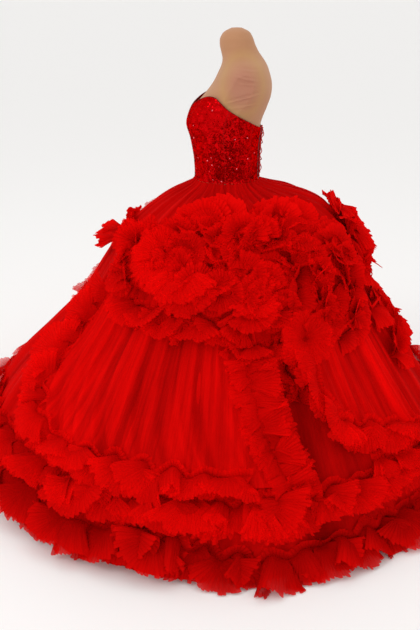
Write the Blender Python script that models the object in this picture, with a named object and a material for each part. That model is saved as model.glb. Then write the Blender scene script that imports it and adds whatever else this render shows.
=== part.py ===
"""Strapless ball gown on a limbless dress form, with a plain pole and foot under the skirt.

Units are metres. The gown's front faces -Y, the wearer's left is +X and +Z is up.
The origin is the floor under the stand's axis.
A place on the skirt is given by an angle and a share of the way down its slope. The angle
is in degrees, 0 at the front centre, 90 at the wearer's left side and 180 at the back centre.
The share is 0 at the waist seam and 1 at the floor.
"""
import math

import bpy
import bmesh
import numpy as np
from mathutils import Vector
from mathutils.bvhtree import BVHTree

# Walls and gaps
CLOTH = 0.0020
SKIRT_CLOTH = 0.0025
SEAM = 0.0003
CLEAR = 0.0006

# Dress form: height, front and back of the section (y), and half its width
FORM_SECTIONS = (
    (0.900, -0.148, 0.148, 0.166),
    (0.940, -0.155, 0.156, 0.175),
    (0.985, -0.148, 0.142, 0.162),
    (1.055, -0.127, 0.108, 0.126),
    (1.120, -0.127, 0.104, 0.127),
    (1.200, -0.138, 0.106, 0.137),
    (1.270, -0.146, 0.117, 0.147),
    (1.320, -0.128, 0.136, 0.155),
    (1.360, -0.094, 0.149, 0.160),
    (1.400, -0.063, 0.151, 0.160),
    (1.440, -0.042, 0.141, 0.148),
    (1.465, -0.031, 0.131, 0.120),
    (1.485, -0.028, 0.118, 0.086),
    (1.505, -0.032, 0.103, 0.064),
    (1.533, -0.038, 0.088, 0.056),
    (1.560, -0.034, 0.077, 0.052),
    (1.578, -0.018, 0.062, 0.040),
    (1.588, 0.004, 0.040, 0.018),
)
FORM_RING_STEP = 0.030
FORM_SIDES = 24
SHOULDER_HEIGHT = 1.440
ARM_PLATE_X = 0.150
BUST_HEIGHT = 1.272
BUST_ANGLE = 27.0
BUST_FULLNESS = 0.013
BUST_SPREAD = 17.0
BUST_RISE = 0.055

# Stand under the form
POLE_RADIUS = 0.0175
FOOT_RADIUS = 0.210
FOOT_HEIGHT = 0.022
FOOT_CHAMFER = 0.006
STAND_SIDES = 20

# Bodice: angle, and height of its top edge there
NECKLINE = (
    (0.0, 1.303),
    (12.0, 1.320),
    (27.0, 1.343),
    (42.0, 1.364),
    (52.0, 1.361),
    (65.0, 1.348),
    (90.0, 1.316),
    (110.0, 1.293),
    (130.0, 1.272),
    (150.0, 1.254),
    (180.0, 1.241),
)
WAIST_HEIGHT = 1.0580
BODICE_EASE = 0.0018
BODICE_TOP_EASE = 0.0035
CUP_TOP_EASE = 0.008
CUP_SPREAD = 26.0
BODICE_ROWS = 9
BODICE_STEP = 10.0
CENTRE_SEAM = 30.0
SIDE_SEAM = 88.0
BACK_SEAM = 136.0
BACK_EDGE = 171.5

# Lacing at the back
LOOP_COUNT = 6
LOOP_CORD = 0.0022
LOOP_REACH = 0.0085
LOOP_CLEARANCE = 0.0013
LOOP_CENTRE = 169.5
# Points of a loop, as shares of the spacing of the loops
LOOP_SHARES = (-0.42, -0.26, 0.0, 0.26, 0.42)
LACE_CORD = 0.0026
LACE_LIFT = 0.0034
LACE_CROSSING = 0.00595
LACE_HOLD = 0.12
LACE_EDGE_SHARE = 0.55
CORD_SIDES = 5

# Skirt: height, front and side and back reach of each ring from the axis
SKIRT_RINGS = (
    (1.0577, -0.1316, 0.1310, 0.1128),
    (1.0450, -0.1480, 0.1480, 0.1340),
    (1.0290, -0.1860, 0.1920, 0.2000),
    (0.9980, -0.2400, 0.2640, 0.3030),
    (0.9400, -0.3150, 0.3400, 0.3950),
    (0.8500, -0.4050, 0.4120, 0.4550),
    (0.7400, -0.4800, 0.4800, 0.4970),
    (0.6100, -0.5650, 0.5620, 0.5600),
    (0.4700, -0.7000, 0.6650, 0.6500),
    (0.3200, -0.8500, 0.7750, 0.7550),
    (0.1600, -0.9500, 0.9000, 0.8650),
    (0.0040, -0.9850, 0.9980, 0.9400),
)
SKIRT_FOLDS = 18
HEM_FOLD_DEPTH = 0.013
GORE_ANGLE = 60.0
GORE_COLUMNS = 12

# Overskirt petals: share of the way down the petal, angle of its front edge and of its back edge
SIDE_PETAL = (
    (0.00, 36.0, 94.0),
    (0.25, 31.0, 98.0),
    (0.50, 29.0, 101.5),
    (0.75, 34.0, 105.0),
    (1.00, 44.0, 108.5),
)
SIDE_PETAL_TOP = 0.50
SIDE_PETAL_HEM = (0.850, 0.872)
BACK_PETAL = (
    (0.00, 115.5, 149.0),
    (0.25, 115.0, 150.0),
    (0.50, 115.5, 151.0),
    (0.75, 117.0, 152.0),
    (1.00, 120.0, 152.5),
)
BACK_PETAL_TOP = 0.52
BACK_PETAL_HEM = (0.795, 0.885)
PETAL_LIFT = (0.0050, 0.020)
PETAL_ROWS = 5

# Cross sections of a ruffle, as shares of its reach: outward, up, and how far the wave sways it
FRILL = ((0.0, 0.0, 0.0), (0.36, 0.40, 0.45), (0.86, 0.62, 1.0))
FLAT_FRILL = ((0.0, 0.0, 0.0), (0.93, 0.50, 1.0))
STANDING = ((0.0, 0.0, 0.0), (0.12, 0.52, 0.5), (0.34, 0.98, 1.0))
CASCADE = ((-1.0, 0.42, 1.0), (0.0, 0.0, 0.0), (1.0, 0.42, -1.0))
POINTS_PER_WAVE = 4
# How unevenly the waves are pulled: how much, and its turn from point to point and with the reach
WAVE_PULL = (0.22, 2.3, 90.0)

# Rows of ruffle round the hem: name, place at front and back, how much lower at the sides, reach
HEM_ROWS = (("upper", 0.880, 0.005, 0.116), ("lower", 0.928, 0.024, 0.118))
HEM_GAP = 0.012

# Colours
TULLE_RED = (0.52, 0.004, 0.004)
SEQUIN_RED = (0.36, 0.004, 0.006)
FORM_TAN = (0.47, 0.27, 0.15)
STAND_GREY = (0.20, 0.20, 0.21)


def start_empty():
    """Remove what the scene holds."""
    for thing in list(bpy.data.objects):
        bpy.data.objects.remove(thing, do_unlink=True)


def finish(name, colour, roughness, metallic=0.0):
    """Make a plain material."""
    material = bpy.data.materials.new(name)
    material.use_nodes = True
    shader = material.node_tree.nodes["Principled BSDF"]
    shader.inputs["Base Color"].default_value = (*colour, 1.0)
    shader.inputs["Roughness"].default_value = roughness
    shader.inputs["Metallic"].default_value = metallic
    return material


def closed_solid(name, points, faces, material):
    """Put one closed mesh, its faces turned outward, into the scene under its own name."""
    mesh = bpy.data.meshes.new(name)
    mesh.from_pydata([tuple(map(float, point)) for point in points], [], faces)
    work = bmesh.new()
    work.from_mesh(mesh)
    bmesh.ops.recalc_face_normals(work, faces=work.faces)
    work.to_mesh(mesh)
    work.free()
    mesh.shade_smooth()
    mesh.set_sharp_from_angle(angle=math.radians(50.0))
    mesh.materials.append(material)
    thing = bpy.data.objects.new(name, mesh)
    bpy.context.scene.collection.objects.link(thing)
    return thing


def wall(name, outer, inner, material, closed=False):
    """Join two grids of points, outer and inner faces of one wall, into a closed solid."""
    rows, columns = outer.shape[:2]
    points = np.concatenate([outer.reshape(-1, 3), inner.reshape(-1, 3)])
    inside = rows * columns

    def at(row, column, side):
        return side + row * columns + column % columns

    spans = columns if closed else columns - 1
    faces = []
    for row in range(rows - 1):
        for column in range(spans):
            for side in (0, inside):
                faces.append((at(row, column, side), at(row, column + 1, side),
                              at(row + 1, column + 1, side), at(row + 1, column, side)))
    for column in range(spans):
        for row in (0, rows - 1):
            faces.append((at(row, column, 0), at(row, column + 1, 0),
                          at(row, column + 1, inside), at(row, column, inside)))
    if not closed:
        for row in range(rows - 1):
            for column in (0, columns - 1):
                faces.append((at(row, column, 0), at(row + 1, column, 0),
                              at(row + 1, column, inside), at(row, column, inside)))
    return closed_solid(name, points, faces, material)


def lofted(name, rings, material):
    """Join closed rings of points, bottom to top, and cap both ends."""
    rows, columns = len(rings), len(rings[0])
    faces = []
    for row in range(rows - 1):
        for column in range(columns):
            following = (column + 1) % columns
            faces.append((row * columns + column, row * columns + following,
                          (row + 1) * columns + following, (row + 1) * columns + column))
    faces.append(tuple(reversed(range(columns))))
    faces.append(tuple((rows - 1) * columns + column for column in range(columns)))
    return closed_solid(name, np.concatenate(rings), faces, material)


def mirrored(grid):
    """The same grid of points on the wearer's other side."""
    return grid * np.array([-1.0, 1.0, 1.0])


def read_table(table, key):
    """Smooth values of a table's other columns where its first column has the value key."""
    rows = np.array(table)
    keys = rows[:, 0]
    slopes = np.gradient(rows[:, 1:], keys, axis=0)
    low = int(np.clip(np.searchsorted(keys, key) - 1, 0, len(keys) - 2))
    step = keys[low + 1] - keys[low]
    share = float(np.clip((key - keys[low]) / step, 0.0, 1.0))
    start, end = rows[low, 1:], rows[low + 1, 1:]
    lead, follow = slopes[low] * step, slopes[low + 1] * step
    square, cube = share ** 2, share ** 3
    return ((2 * cube - 3 * square + 1) * start + (cube - 2 * square + share) * lead
            + (3 * square - 2 * cube) * end + (cube - square) * follow)


def unit(vector):
    """The vector at length one."""
    return vector / np.linalg.norm(vector)


def form_point(angle, height, offset=0.0):
    """A point of the dress form's surface, moved out level by the offset."""
    front, back, half = read_table(FORM_SECTIONS, height)
    turn = math.radians(angle)
    middle, depth = (front + back) / 2, (back - front) / 2
    away = min(abs(abs(angle) - BUST_ANGLE), 180.0)
    bust = BUST_FULLNESS * math.exp(-(away / BUST_SPREAD) ** 2
                                    - ((height - BUST_HEIGHT) / BUST_RISE) ** 2)
    outward = unit(np.array([math.sin(turn) / half, -math.cos(turn) / depth]))
    x = half * math.sin(turn) + (bust + offset) * outward[0]
    y = middle - depth * math.cos(turn) + (bust + offset) * outward[1]
    limit = ARM_PLATE_X + offset
    return np.array([float(np.clip(x, -limit, limit)), y, height])


def make_form(material):
    """The form's body, from its hips to the cap of its neck."""
    bottom, top = FORM_SECTIONS[0][0], FORM_SECTIONS[-1][0]
    heights = [bottom, bottom + FORM_RING_STEP, bottom + 3 * FORM_RING_STEP]
    heights += list(np.arange(bottom + 5 * FORM_RING_STEP, SHOULDER_HEIGHT,
                              FORM_RING_STEP))
    heights += [row[0] for row in FORM_SECTIONS if row[0] >= SHOULDER_HEIGHT]
    angles = np.arange(FORM_SIDES) * 360.0 / FORM_SIDES
    rings = [np.array([form_point(angle if angle <= 180 else angle - 360, height)
                       for angle in angles]) for height in heights]
    return lofted("form_body", rings, material)


def make_stand(material):
    """A pole under the form and a round foot with a chamfered edge."""
    angles = np.arange(STAND_SIDES) * math.tau / STAND_SIDES

    def ring(radius, height):
        return np.array([(radius * math.cos(a), radius * math.sin(a), height) for a in angles])

    lofted("stand_pole", [ring(POLE_RADIUS, FOOT_HEIGHT + SEAM),
                          ring(POLE_RADIUS, FORM_SECTIONS[0][0] - SEAM)], material)
    lofted("stand_foot", [ring(FOOT_RADIUS, 0.0), ring(FOOT_RADIUS, FOOT_HEIGHT - FOOT_CHAMFER),
                          ring(FOOT_RADIUS - FOOT_CHAMFER, FOOT_HEIGHT)], material)


def bodice_ease(angle, height):
    """The bodice's clearance from the form, which grows towards its top edge."""
    top = float(read_table(NECKLINE, abs(angle))[0])
    share = min(max((height - WAIST_HEIGHT) / (top - WAIST_HEIGHT), 0.0), 1.0)
    cup = CUP_TOP_EASE * math.exp(-((abs(angle) - BUST_ANGLE) / CUP_SPREAD) ** 2)
    return BODICE_EASE + (BODICE_TOP_EASE + cup) * share ** 3


def bodice_grid(first, last, offset):
    """Points of one bodice panel between two seam angles, waist first."""
    columns = max(2, int(round((last - first) / BODICE_STEP))) + 1
    grid = np.zeros((BODICE_ROWS + 1, columns, 3))
    for row in range(BODICE_ROWS + 1):
        for column in range(columns):
            angle = first + (last - first) * column / (columns - 1)
            top = float(read_table(NECKLINE, abs(angle))[0])
            height = WAIST_HEIGHT + (top - WAIST_HEIGHT) * row / BODICE_ROWS
            half = float(read_table(FORM_SECTIONS, height)[2])
            inset = math.degrees(SEAM / 2 / half)
            if column == 0:
                angle += inset
            if column == columns - 1:
                angle -= inset
            grid[row, column] = form_point(angle, height, offset + bodice_ease(angle, height))
    return grid


def make_bodice(material):
    """Seven panels: centre front, two cup panels, two sides and two backs."""
    panels = (("bodice_cup_panel", CENTRE_SEAM, SIDE_SEAM),
              ("bodice_side_panel", SIDE_SEAM, BACK_SEAM),
              ("bodice_back_panel", BACK_SEAM, BACK_EDGE))
    outer, inner = CLOTH, 0.0
    wall("bodice_centre_front", bodice_grid(-CENTRE_SEAM, CENTRE_SEAM, outer),
         bodice_grid(-CENTRE_SEAM, CENTRE_SEAM, inner), material)
    for name, first, last in panels:
        faces = bodice_grid(first, last, outer), bodice_grid(first, last, inner)
        wall(name + "_left", *faces, material)
        wall(name + "_right", *map(mirrored, faces), material)


def cord(name, path, radius, material):
    """A round cord along a path, its ends capped flat."""
    path = np.array(path)
    rings = []
    for step in range(len(path)):
        ahead = path[min(step + 1, len(path) - 1)] - path[max(step - 1, 0)]
        forward = unit(ahead)
        across = unit(np.cross(forward, np.array([0.0, 1.0, 0.02])))
        outward = np.cross(across, forward)
        turns = np.arange(CORD_SIDES) * math.tau / CORD_SIDES
        rings.append(np.array([path[step] + radius * (math.cos(a) * across + math.sin(a) * outward)
                               for a in turns]))
    return lofted(name, rings, material)


def lacing_heights():
    """Heights of the loops down the back, top first."""
    top = float(read_table(NECKLINE, BACK_EDGE)[0]) - 0.012
    bottom = WAIST_HEIGHT + 0.021
    return np.linspace(top, bottom, LOOP_COUNT)


def make_lacing(material):
    """Scalloped cord loops on both back edges, and two laces that cross between them."""
    heights = lacing_heights()
    pitch = heights[0] - heights[1]
    lift = CLOTH + LOOP_CORD + LOOP_CLEARANCE
    path = []
    for height in heights:
        for share in LOOP_SHARES:
            level = height - share * pitch
            part = min(abs(share) / LOOP_SHARES[-1], 1.0)
            bulge = LOOP_REACH * math.cos(part * math.pi / 2) ** 0.5 if part < 1.0 else 0.0
            point = form_point(LOOP_CENTRE, level, lift + bodice_ease(BACK_EDGE, level))
            path.append(point - np.array([bulge, 0.0, 0.0]))
    cord("lacing_loops_left", path, LOOP_CORD, material)
    cord("lacing_loops_right", mirrored(np.array(path)), LOOP_CORD, material)
    side = abs(form_point(LOOP_CENTRE, heights[0])[0]) - LOOP_REACH * LACE_EDGE_SHARE
    base = CLOTH + LACE_LIFT + LOOP_CORD
    for name, sign, crossing in (("lace_under", 1.0, 0.0), ("lace_over", -1.0, LACE_CROSSING)):
        path = []
        for number, height in enumerate(heights):
            reach = side * sign * (1 if number % 2 == 0 else -1)
            edge = form_point(180.0, height, base + bodice_ease(180.0, height))
            for drop in (LACE_HOLD, -LACE_HOLD):
                path.append(edge + np.array([reach, 0.0, drop * pitch + crossing * LACE_EDGE_SHARE]))
            if number < LOOP_COUNT - 1:
                level = height - pitch / 2
                middle = form_point(180.0, level, base + bodice_ease(180.0, level) + crossing)
                path.append(middle)
        cord(name, path, LACE_CORD / 2, material)


def skirt_levels():
    """The skirt's rings with the share of the way down as first column."""
    last = len(SKIRT_RINGS) - 1
    return [(number / last, *ring) for number, ring in enumerate(SKIRT_RINGS)]


SKIRT_LEVELS = skirt_levels()


def skirt_point(angle, down):
    """A point of the skirt's plain form, without folds."""
    height, front, half, back = read_table(SKIRT_LEVELS, down)
    turn = math.radians(angle)
    return np.array([half * math.sin(turn),
                     (front + back) / 2 - (back - front) / 2 * math.cos(turn), height])


def skirt_normal(angle, down):
    """The direction straight out of the skirt."""
    step = 0.004
    low, high = max(down - step, 0.0), min(down + step, 1.0)
    around = skirt_point(angle + 0.5, down) - skirt_point(angle - 0.5, down)
    slope = skirt_point(angle, high) - skirt_point(angle, low)
    return unit(np.cross(slope, around))


def fold(angle, down):
    """How far the skirt's gathers stand out or in at a place."""
    return HEM_FOLD_DEPTH * down ** 1.4 * math.cos(math.radians(SKIRT_FOLDS * angle))


def gore_faces(first):
    """Outer and inner points of one skirt gore."""
    rows = len(SKIRT_RINGS)
    outer = np.zeros((rows, GORE_COLUMNS + 1, 3))
    inner = outer.copy()
    for row in range(rows):
        down = row / (rows - 1)
        inset = math.degrees(SEAM / 2 / SKIRT_RINGS[row][2])
        for column in range(GORE_COLUMNS + 1):
            angle = first + GORE_ANGLE * column / GORE_COLUMNS
            place = angle + (inset if column == 0 else -inset if column == GORE_COLUMNS else 0.0)
            point, out = skirt_point(place, down), skirt_normal(place, down)
            if row in (0, rows - 1):
                out = unit(out * np.array([1.0, 1.0, 0.0]))
            outer[row, column] = point + out * fold(angle, down)
            inner[row, column] = outer[row, column] - out * SKIRT_CLOTH
    return outer, inner


def make_skirt(material):
    """Six gores of the base skirt, gathered at the waist."""
    front, back = gore_faces(-30.0), gore_faces(150.0)
    made = [wall("skirt_front_gore", *front, material), wall("skirt_back_gore", *back, material)]
    for name, first in (("skirt_side_front_gore", 30.0), ("skirt_side_back_gore", 90.0)):
        faces = gore_faces(first)
        made.append(wall(name + "_left", *faces, material))
        made.append(wall(name + "_right", *map(mirrored, faces), material))
    return made


def petal_place(shape, top, hem, across, along):
    """The angle and the share of the way down at a place on an overskirt petal."""
    front, back = read_table(shape, along)
    bottom = hem[0] + (hem[1] - hem[0]) * across
    return front + (back - front) * across, top + (bottom - top) * along


def petal_faces(shape, top, hem, columns, rows):
    """Outer and inner points of an overskirt petal, which lies over the skirt's own folds."""
    outer = np.zeros((rows + 1, columns + 1, 3))
    inner = outer.copy()
    for row in range(rows + 1):
        along = row / rows
        lift = PETAL_LIFT[0] + (PETAL_LIFT[1] - PETAL_LIFT[0]) * along
        for column in range(columns + 1):
            angle, down = petal_place(shape, top, hem, column / columns, along)
            out = skirt_normal(angle, down)
            base = skirt_point(angle, down) + out * (fold(angle, down) + lift)
            inner[row, column] = base
            outer[row, column] = base + out * SKIRT_CLOTH
    return outer, inner


def make_petals(material):
    """A wide petal over each hip and a narrower one behind it."""
    made = []
    for name, shape, top, hem, columns in (
            ("overskirt_side_petal", SIDE_PETAL, SIDE_PETAL_TOP, SIDE_PETAL_HEM, 14),
            ("overskirt_back_petal", BACK_PETAL, BACK_PETAL_TOP, BACK_PETAL_HEM, 8)):
        faces = petal_faces(shape, top, hem, columns, PETAL_ROWS)
        made.append(wall(name + "_left", *faces, material))
        made.append(wall(name + "_right", *map(mirrored, faces), material))
    return made


def surface_trees(things):
    """Search trees of solids that a ruffle is sewn on."""
    trees = []
    for thing in things:
        thing.data.calc_loop_triangles()
        points = [vertex.co.copy() for vertex in thing.data.vertices]
        triangles = [tuple(triangle.vertices) for triangle in thing.data.loop_triangles]
        trees.append(BVHTree.FromPolygons(points, triangles))
    return trees


def height_on(trees, point, out):
    """How far above the skirt's plain form the topmost solid lies."""
    reach = 0.10
    start = Vector(point + out * reach)
    best = 0.0
    for tree in trees:
        hit = tree.ray_cast(start, Vector(-out), 2 * reach)
        if hit[0] is not None:
            best = max(best, reach - hit[3])
    return best


def span_height(trees, start, end, out):
    """How far above a straight stretch the topmost solid under it rises."""
    return max(height_on(trees, start + (end - start) * share, out) for share in np.linspace(0.0, 1.0, 15))


def smooth_route(places, count, closed=False):
    """Evenly spaced places on a smooth curve through the given ones."""
    knots = [(number, *place) for number, place in enumerate(places)]
    if closed:
        knots.append((len(places), *places[0]))
    fine = np.linspace(0.0, knots[-1][0], 241)
    curve = np.array([read_table(knots, key) for key in fine])
    points = np.array([skirt_point(*place) for place in curve])
    steps = np.linalg.norm(np.diff(points, axis=0), axis=1)
    length = np.concatenate([[0.0], np.cumsum(steps)])
    marks = np.linspace(0.0, length[-1], count + 1)
    if closed:
        marks = marks[:-1]
    return [(np.interp(m, length, curve[:, 0]), np.interp(m, length, curve[:, 1])) for m in marks]


def ruffle_faces(places, reach, waves, sway, section, trees, side=1, closed=False, start=0.125):
    """Outer and inner points of a ruffle sewn along a route, its free edge waving."""
    count = waves * POINTS_PER_WAVE
    route = smooth_route(places, count, closed)
    total = len(route)
    points = np.array([skirt_point(*place) for place in route])
    outs = np.array([skirt_normal(*place) for place in route])
    spans = [span_height(trees, points[k], points[(k + 1) % total], outs[k]) if closed or k < total - 1
             else 0.0 for k in range(total)]
    blade = unit(np.array(section[-1][:2]))
    level = 1.0 if section is CASCADE else unit(np.array(section[1][:2]))[0]
    root = CLEAR + CLOTH / 2 * level
    middle = np.zeros((len(section), total, 3))
    for k in range(total):
        ahead, behind = (k + 1) % total, (k - 1) % total
        if not closed:
            ahead, behind = min(k + 1, total - 1), max(k - 1, 0)
        forward = unit(points[ahead] - points[behind])
        across = unit(np.cross(forward, outs[k])) * side
        rise = max(spans[behind], spans[k]) + root
        wave = math.sin(math.tau * (k / POINTS_PER_WAVE + start))
        pull = 1.0 + WAVE_PULL[0] * math.sin(WAVE_PULL[1] * k + WAVE_PULL[2] * reach)
        for row, (outward, up, share) in enumerate(section):
            swing = sway * wave * pull * abs(share)
            if section is CASCADE:
                shift = across * outward * reach + outs[k] * (up * reach + swing * np.sign(share))
            else:
                shift = (across * (outward * reach - swing * blade[1])
                         + outs[k] * (up * reach + swing * blade[0]))
            middle[row, k] = points[k] + outs[k] * rise + shift
    return thickened(middle, CLOTH, closed)


def thickened(middle, thickness, closed):
    """Both faces of a wall around its middle surface."""
    rows, columns = middle.shape[:2]
    normals = np.zeros_like(middle)
    for row in range(rows):
        for column in range(columns):
            if closed:
                along = middle[row, (column + 1) % columns] - middle[row, (column - 1) % columns]
            else:
                along = middle[row, min(column + 1, columns - 1)] - middle[row, max(column - 1, 0)]
            blade = middle[min(row + 1, rows - 1), column] - middle[max(row - 1, 0), column]
            normals[row, column] = unit(np.cross(along, blade))
    return middle + normals * thickness / 2, middle - normals * thickness / 2


def circle_route(angle, down, radius, turns=1.0, first=0.0, growth=0.0, steps=12):
    """Places on a circle or spiral round a place on the skirt, travelled so that it leans outward."""
    around = np.linalg.norm(skirt_point(angle + 0.5, down) - skirt_point(angle - 0.5, down))
    slope = np.linalg.norm(skirt_point(angle, down + 0.01) - skirt_point(angle, down - 0.01)) / 0.02
    count = int(steps * turns) + (0 if turns == 1.0 else 1)
    places = []
    for step in range(count):
        turn = -(first + math.tau * step / steps)
        reach = radius + growth * step / steps
        places.append((angle + reach * math.cos(turn) / around, down + reach * math.sin(turn) / slope))
    return places


def make_ruffles(material, gores, petals):
    """Every ruffle of the gown, from the hips to the hem."""
    skirt_trees = surface_trees(gores)
    all_trees = surface_trees(gores + petals)
    side_trees, back_trees = surface_trees(petals[:1]), surface_trees(petals[2:3])

    def pair(name, *rule, **more):
        faces = ruffle_faces(*rule, **more)
        closed = more.get("closed", False)
        wall(name + "_left", *faces, material, closed)
        wall(name + "_right", *map(mirrored, faces), material, closed)

    def single(name, *rule, **more):
        wall(name, *ruffle_faces(*rule, **more), material)

    # Two rows round the hem, each in four lengths
    def hem_places(first, down, side_drop):
        angles = np.linspace(first + HEM_GAP, first + 90.0 - HEM_GAP, 7)
        return [(angle, down + side_drop * math.sin(math.radians(angle)) ** 2) for angle in angles]

    for row, down, side_drop, reach in HEM_ROWS:
        for name, first in (("front", -45.0), ("back", 135.0)):
            single(f"hem_ruffle_{row}_{name}", hem_places(first, down, side_drop),
                   reach, 5, 0.024, FLAT_FRILL, skirt_trees)
        pair(f"hem_ruffle_{row}", hem_places(45.0, down, side_drop), reach, 5, 0.024, FLAT_FRILL, skirt_trees)

    # Edges of the petals: down the front edge and along the bottom
    def edge(shape, top, hem, start, end):
        down_edge = [petal_place(shape, top, hem, 0.04, along) for along in (start, 0.45, 0.7, 0.88)]
        bottom = [petal_place(shape, top, hem, across, 0.955) for across in np.linspace(0.12, end, 6)]
        return down_edge + bottom

    pair("side_petal_ruffle", edge(SIDE_PETAL, SIDE_PETAL_TOP, SIDE_PETAL_HEM, 0.20, 0.86),
         0.092, 10, 0.020, FRILL, side_trees)
    pair("back_petal_ruffle", edge(BACK_PETAL, BACK_PETAL_TOP, BACK_PETAL_HEM, 0.42, 0.97),
         0.075, 6, 0.016, FRILL, back_trees)
    cascade = [petal_place(SIDE_PETAL, SIDE_PETAL_TOP, SIDE_PETAL_HEM, across, along)
               for across, along in ((0.94, 0.45), (0.945, 0.60), (0.95, 0.76), (0.96, 0.89), (0.975, 1.01))]
    pair("side_cascade", cascade, 0.075, 4, 0.014, CASCADE, all_trees)

    # Hips: rosette, two curls, three nested arcs, a hanging row and an arch over them
    pair("hip_rosette", circle_route(54.0, 0.485, 0.045), 0.076, 6, 0.017, FRILL, all_trees, closed=True)
    pair("hip_front_curl", circle_route(83.0, 0.470, 0.022, 1.25, 2.6, 0.030), 0.076, 4, 0.010,
         STANDING, all_trees)
    pair("hip_back_curl", circle_route(104.0, 0.518, 0.018, 1.25, 0.6, 0.026), 0.072, 5, 0.009,
         STANDING, all_trees)
    pair("hip_inner_arc", [(107.0, 0.598), (114.5, 0.560), (118.0, 0.510), (116.5, 0.475),
                           (110.0, 0.450), (101.0, 0.442)], 0.062, 4, 0.014, FRILL, all_trees)
    pair("hip_middle_arc", [(118.0, 0.634), (128.0, 0.595), (134.0, 0.535), (135.0, 0.475),
                            (131.5, 0.430), (122.0, 0.400), (110.0, 0.393)], 0.076, 6, 0.016, FRILL, all_trees)
    pair("hip_outer_arc", [(131.0, 0.660), (142.0, 0.622), (150.0, 0.560), (152.5, 0.490),
                           (149.5, 0.440), (140.0, 0.405)], 0.076, 5, 0.017, FRILL, all_trees)
    pair("hip_hanging_row", [(42.0, 0.570), (55.0, 0.585), (68.0, 0.592), (83.0, 0.596), (97.0, 0.600)],
         0.090, 5, 0.018, FRILL, all_trees)
    pair("hip_arch", [(91.0, 0.415), (83.0, 0.392), (72.0, 0.385), (58.0, 0.397), (46.0, 0.422), (36.0, 0.458)],
         0.068, 5, 0.014, FRILL, skirt_trees)

    # Front swag and back tiers, across the centre
    single("front_swag_ruffle", [(-28.0, 0.460), (-15.0, 0.430), (0.0, 0.420), (15.0, 0.430), (28.0, 0.460)],
           0.100, 5, 0.021, FRILL, skirt_trees)
    for number, (down, spread, reach, waves) in enumerate(
            ((0.370, 14.0, 0.085, 3), (0.450, 13.0, 0.090, 3), (0.535, 14.0, 0.100, 3),
             (0.630, 24.0, 0.112, 4), (0.730, 25.0, 0.115, 4)), start=1):
        places = [(180.0 + spread * k / 3, down + 0.012 * (k / 3) ** 2) for k in (-3, -2, -1, 0, 1, 2, 3)]
        single(f"back_tier_{number}", places, reach, waves, 0.020, FRILL, skirt_trees)


def build():
    """Make the whole part."""
    start_empty()
    tulle = finish("red_tulle", TULLE_RED, 0.75)
    sequins = finish("red_sequins", SEQUIN_RED, 0.35, 0.4)
    cover = finish("form_cover", FORM_TAN, 0.8)
    stand = finish("stand_metal", STAND_GREY, 0.4, 0.8)
    make_form(cover)
    make_stand(stand)
    make_bodice(sequins)
    make_lacing(finish("red_cord", TULLE_RED, 0.5))
    gores = make_skirt(tulle)
    petals = make_petals(tulle)
    make_ruffles(tulle, gores, petals)


build()
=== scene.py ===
import math

import bpy
import numpy as np
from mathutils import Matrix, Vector, noise


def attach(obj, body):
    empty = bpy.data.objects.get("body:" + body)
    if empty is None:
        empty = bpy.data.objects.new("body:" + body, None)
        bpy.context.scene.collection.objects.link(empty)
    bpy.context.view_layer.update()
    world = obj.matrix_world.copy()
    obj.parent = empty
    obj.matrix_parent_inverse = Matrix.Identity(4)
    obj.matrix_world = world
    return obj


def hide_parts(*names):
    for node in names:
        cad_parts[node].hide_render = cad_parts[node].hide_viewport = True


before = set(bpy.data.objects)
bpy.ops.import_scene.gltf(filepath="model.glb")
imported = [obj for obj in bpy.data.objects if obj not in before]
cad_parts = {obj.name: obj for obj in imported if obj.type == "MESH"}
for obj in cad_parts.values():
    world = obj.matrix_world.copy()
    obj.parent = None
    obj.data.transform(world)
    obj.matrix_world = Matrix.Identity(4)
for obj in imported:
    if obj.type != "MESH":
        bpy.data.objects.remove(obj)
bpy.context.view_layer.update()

# Red ball gown on a dress form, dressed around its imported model. Metres, +Z up: the gown's front
# faces -Y and the wearer's left is +X. A place on the skirt is an angle in degrees (0 front,
# 90 wearer's left, 180 back) and a share of the way down from the waist seam to the floor.


# Studio
# A wide pale floor under soft white light: a strong lamp high on the camera's left, a weak one on
# its right and one overhead. The camera looks at the wearer's left side from a little above the form.
floor_radius = 400.0
floor_sides = 96
floor_colour = (0.95, 0.945, 0.94)
floor_mottle = 0.985
sky_colour = (1.0, 0.99, 0.98)
sky_strength = 0.92
lamp_aim = (0.0, 0.0, 0.8)
lamps = (
    # name, place, side of the square lamp, watts
    ("key_lamp", (2.6, -3.4, 3.6), 1.6, 42.0),
    ("fill_lamp", (3.2, 3.0, 2.4), 2.6, 10.0),
    ("top_lamp", (-0.6, 0.4, 4.6), 3.0, 12.0),
)
camera_place = (3.0, 0.0, 1.70)
camera_pitch = math.radians(21.9)
# The gown's axis stands 18 pixels beside the middle of a picture with a focal length of 800 pixels
axis_offset = 18.0
focal_length = 800.0
camera_yaw = math.atan(axis_offset / focal_length / math.cos(camera_pitch))
camera_lens = 45.714
scene = bpy.context.scene


def link(thing):
    scene.collection.objects.link(thing)
    return thing


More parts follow.
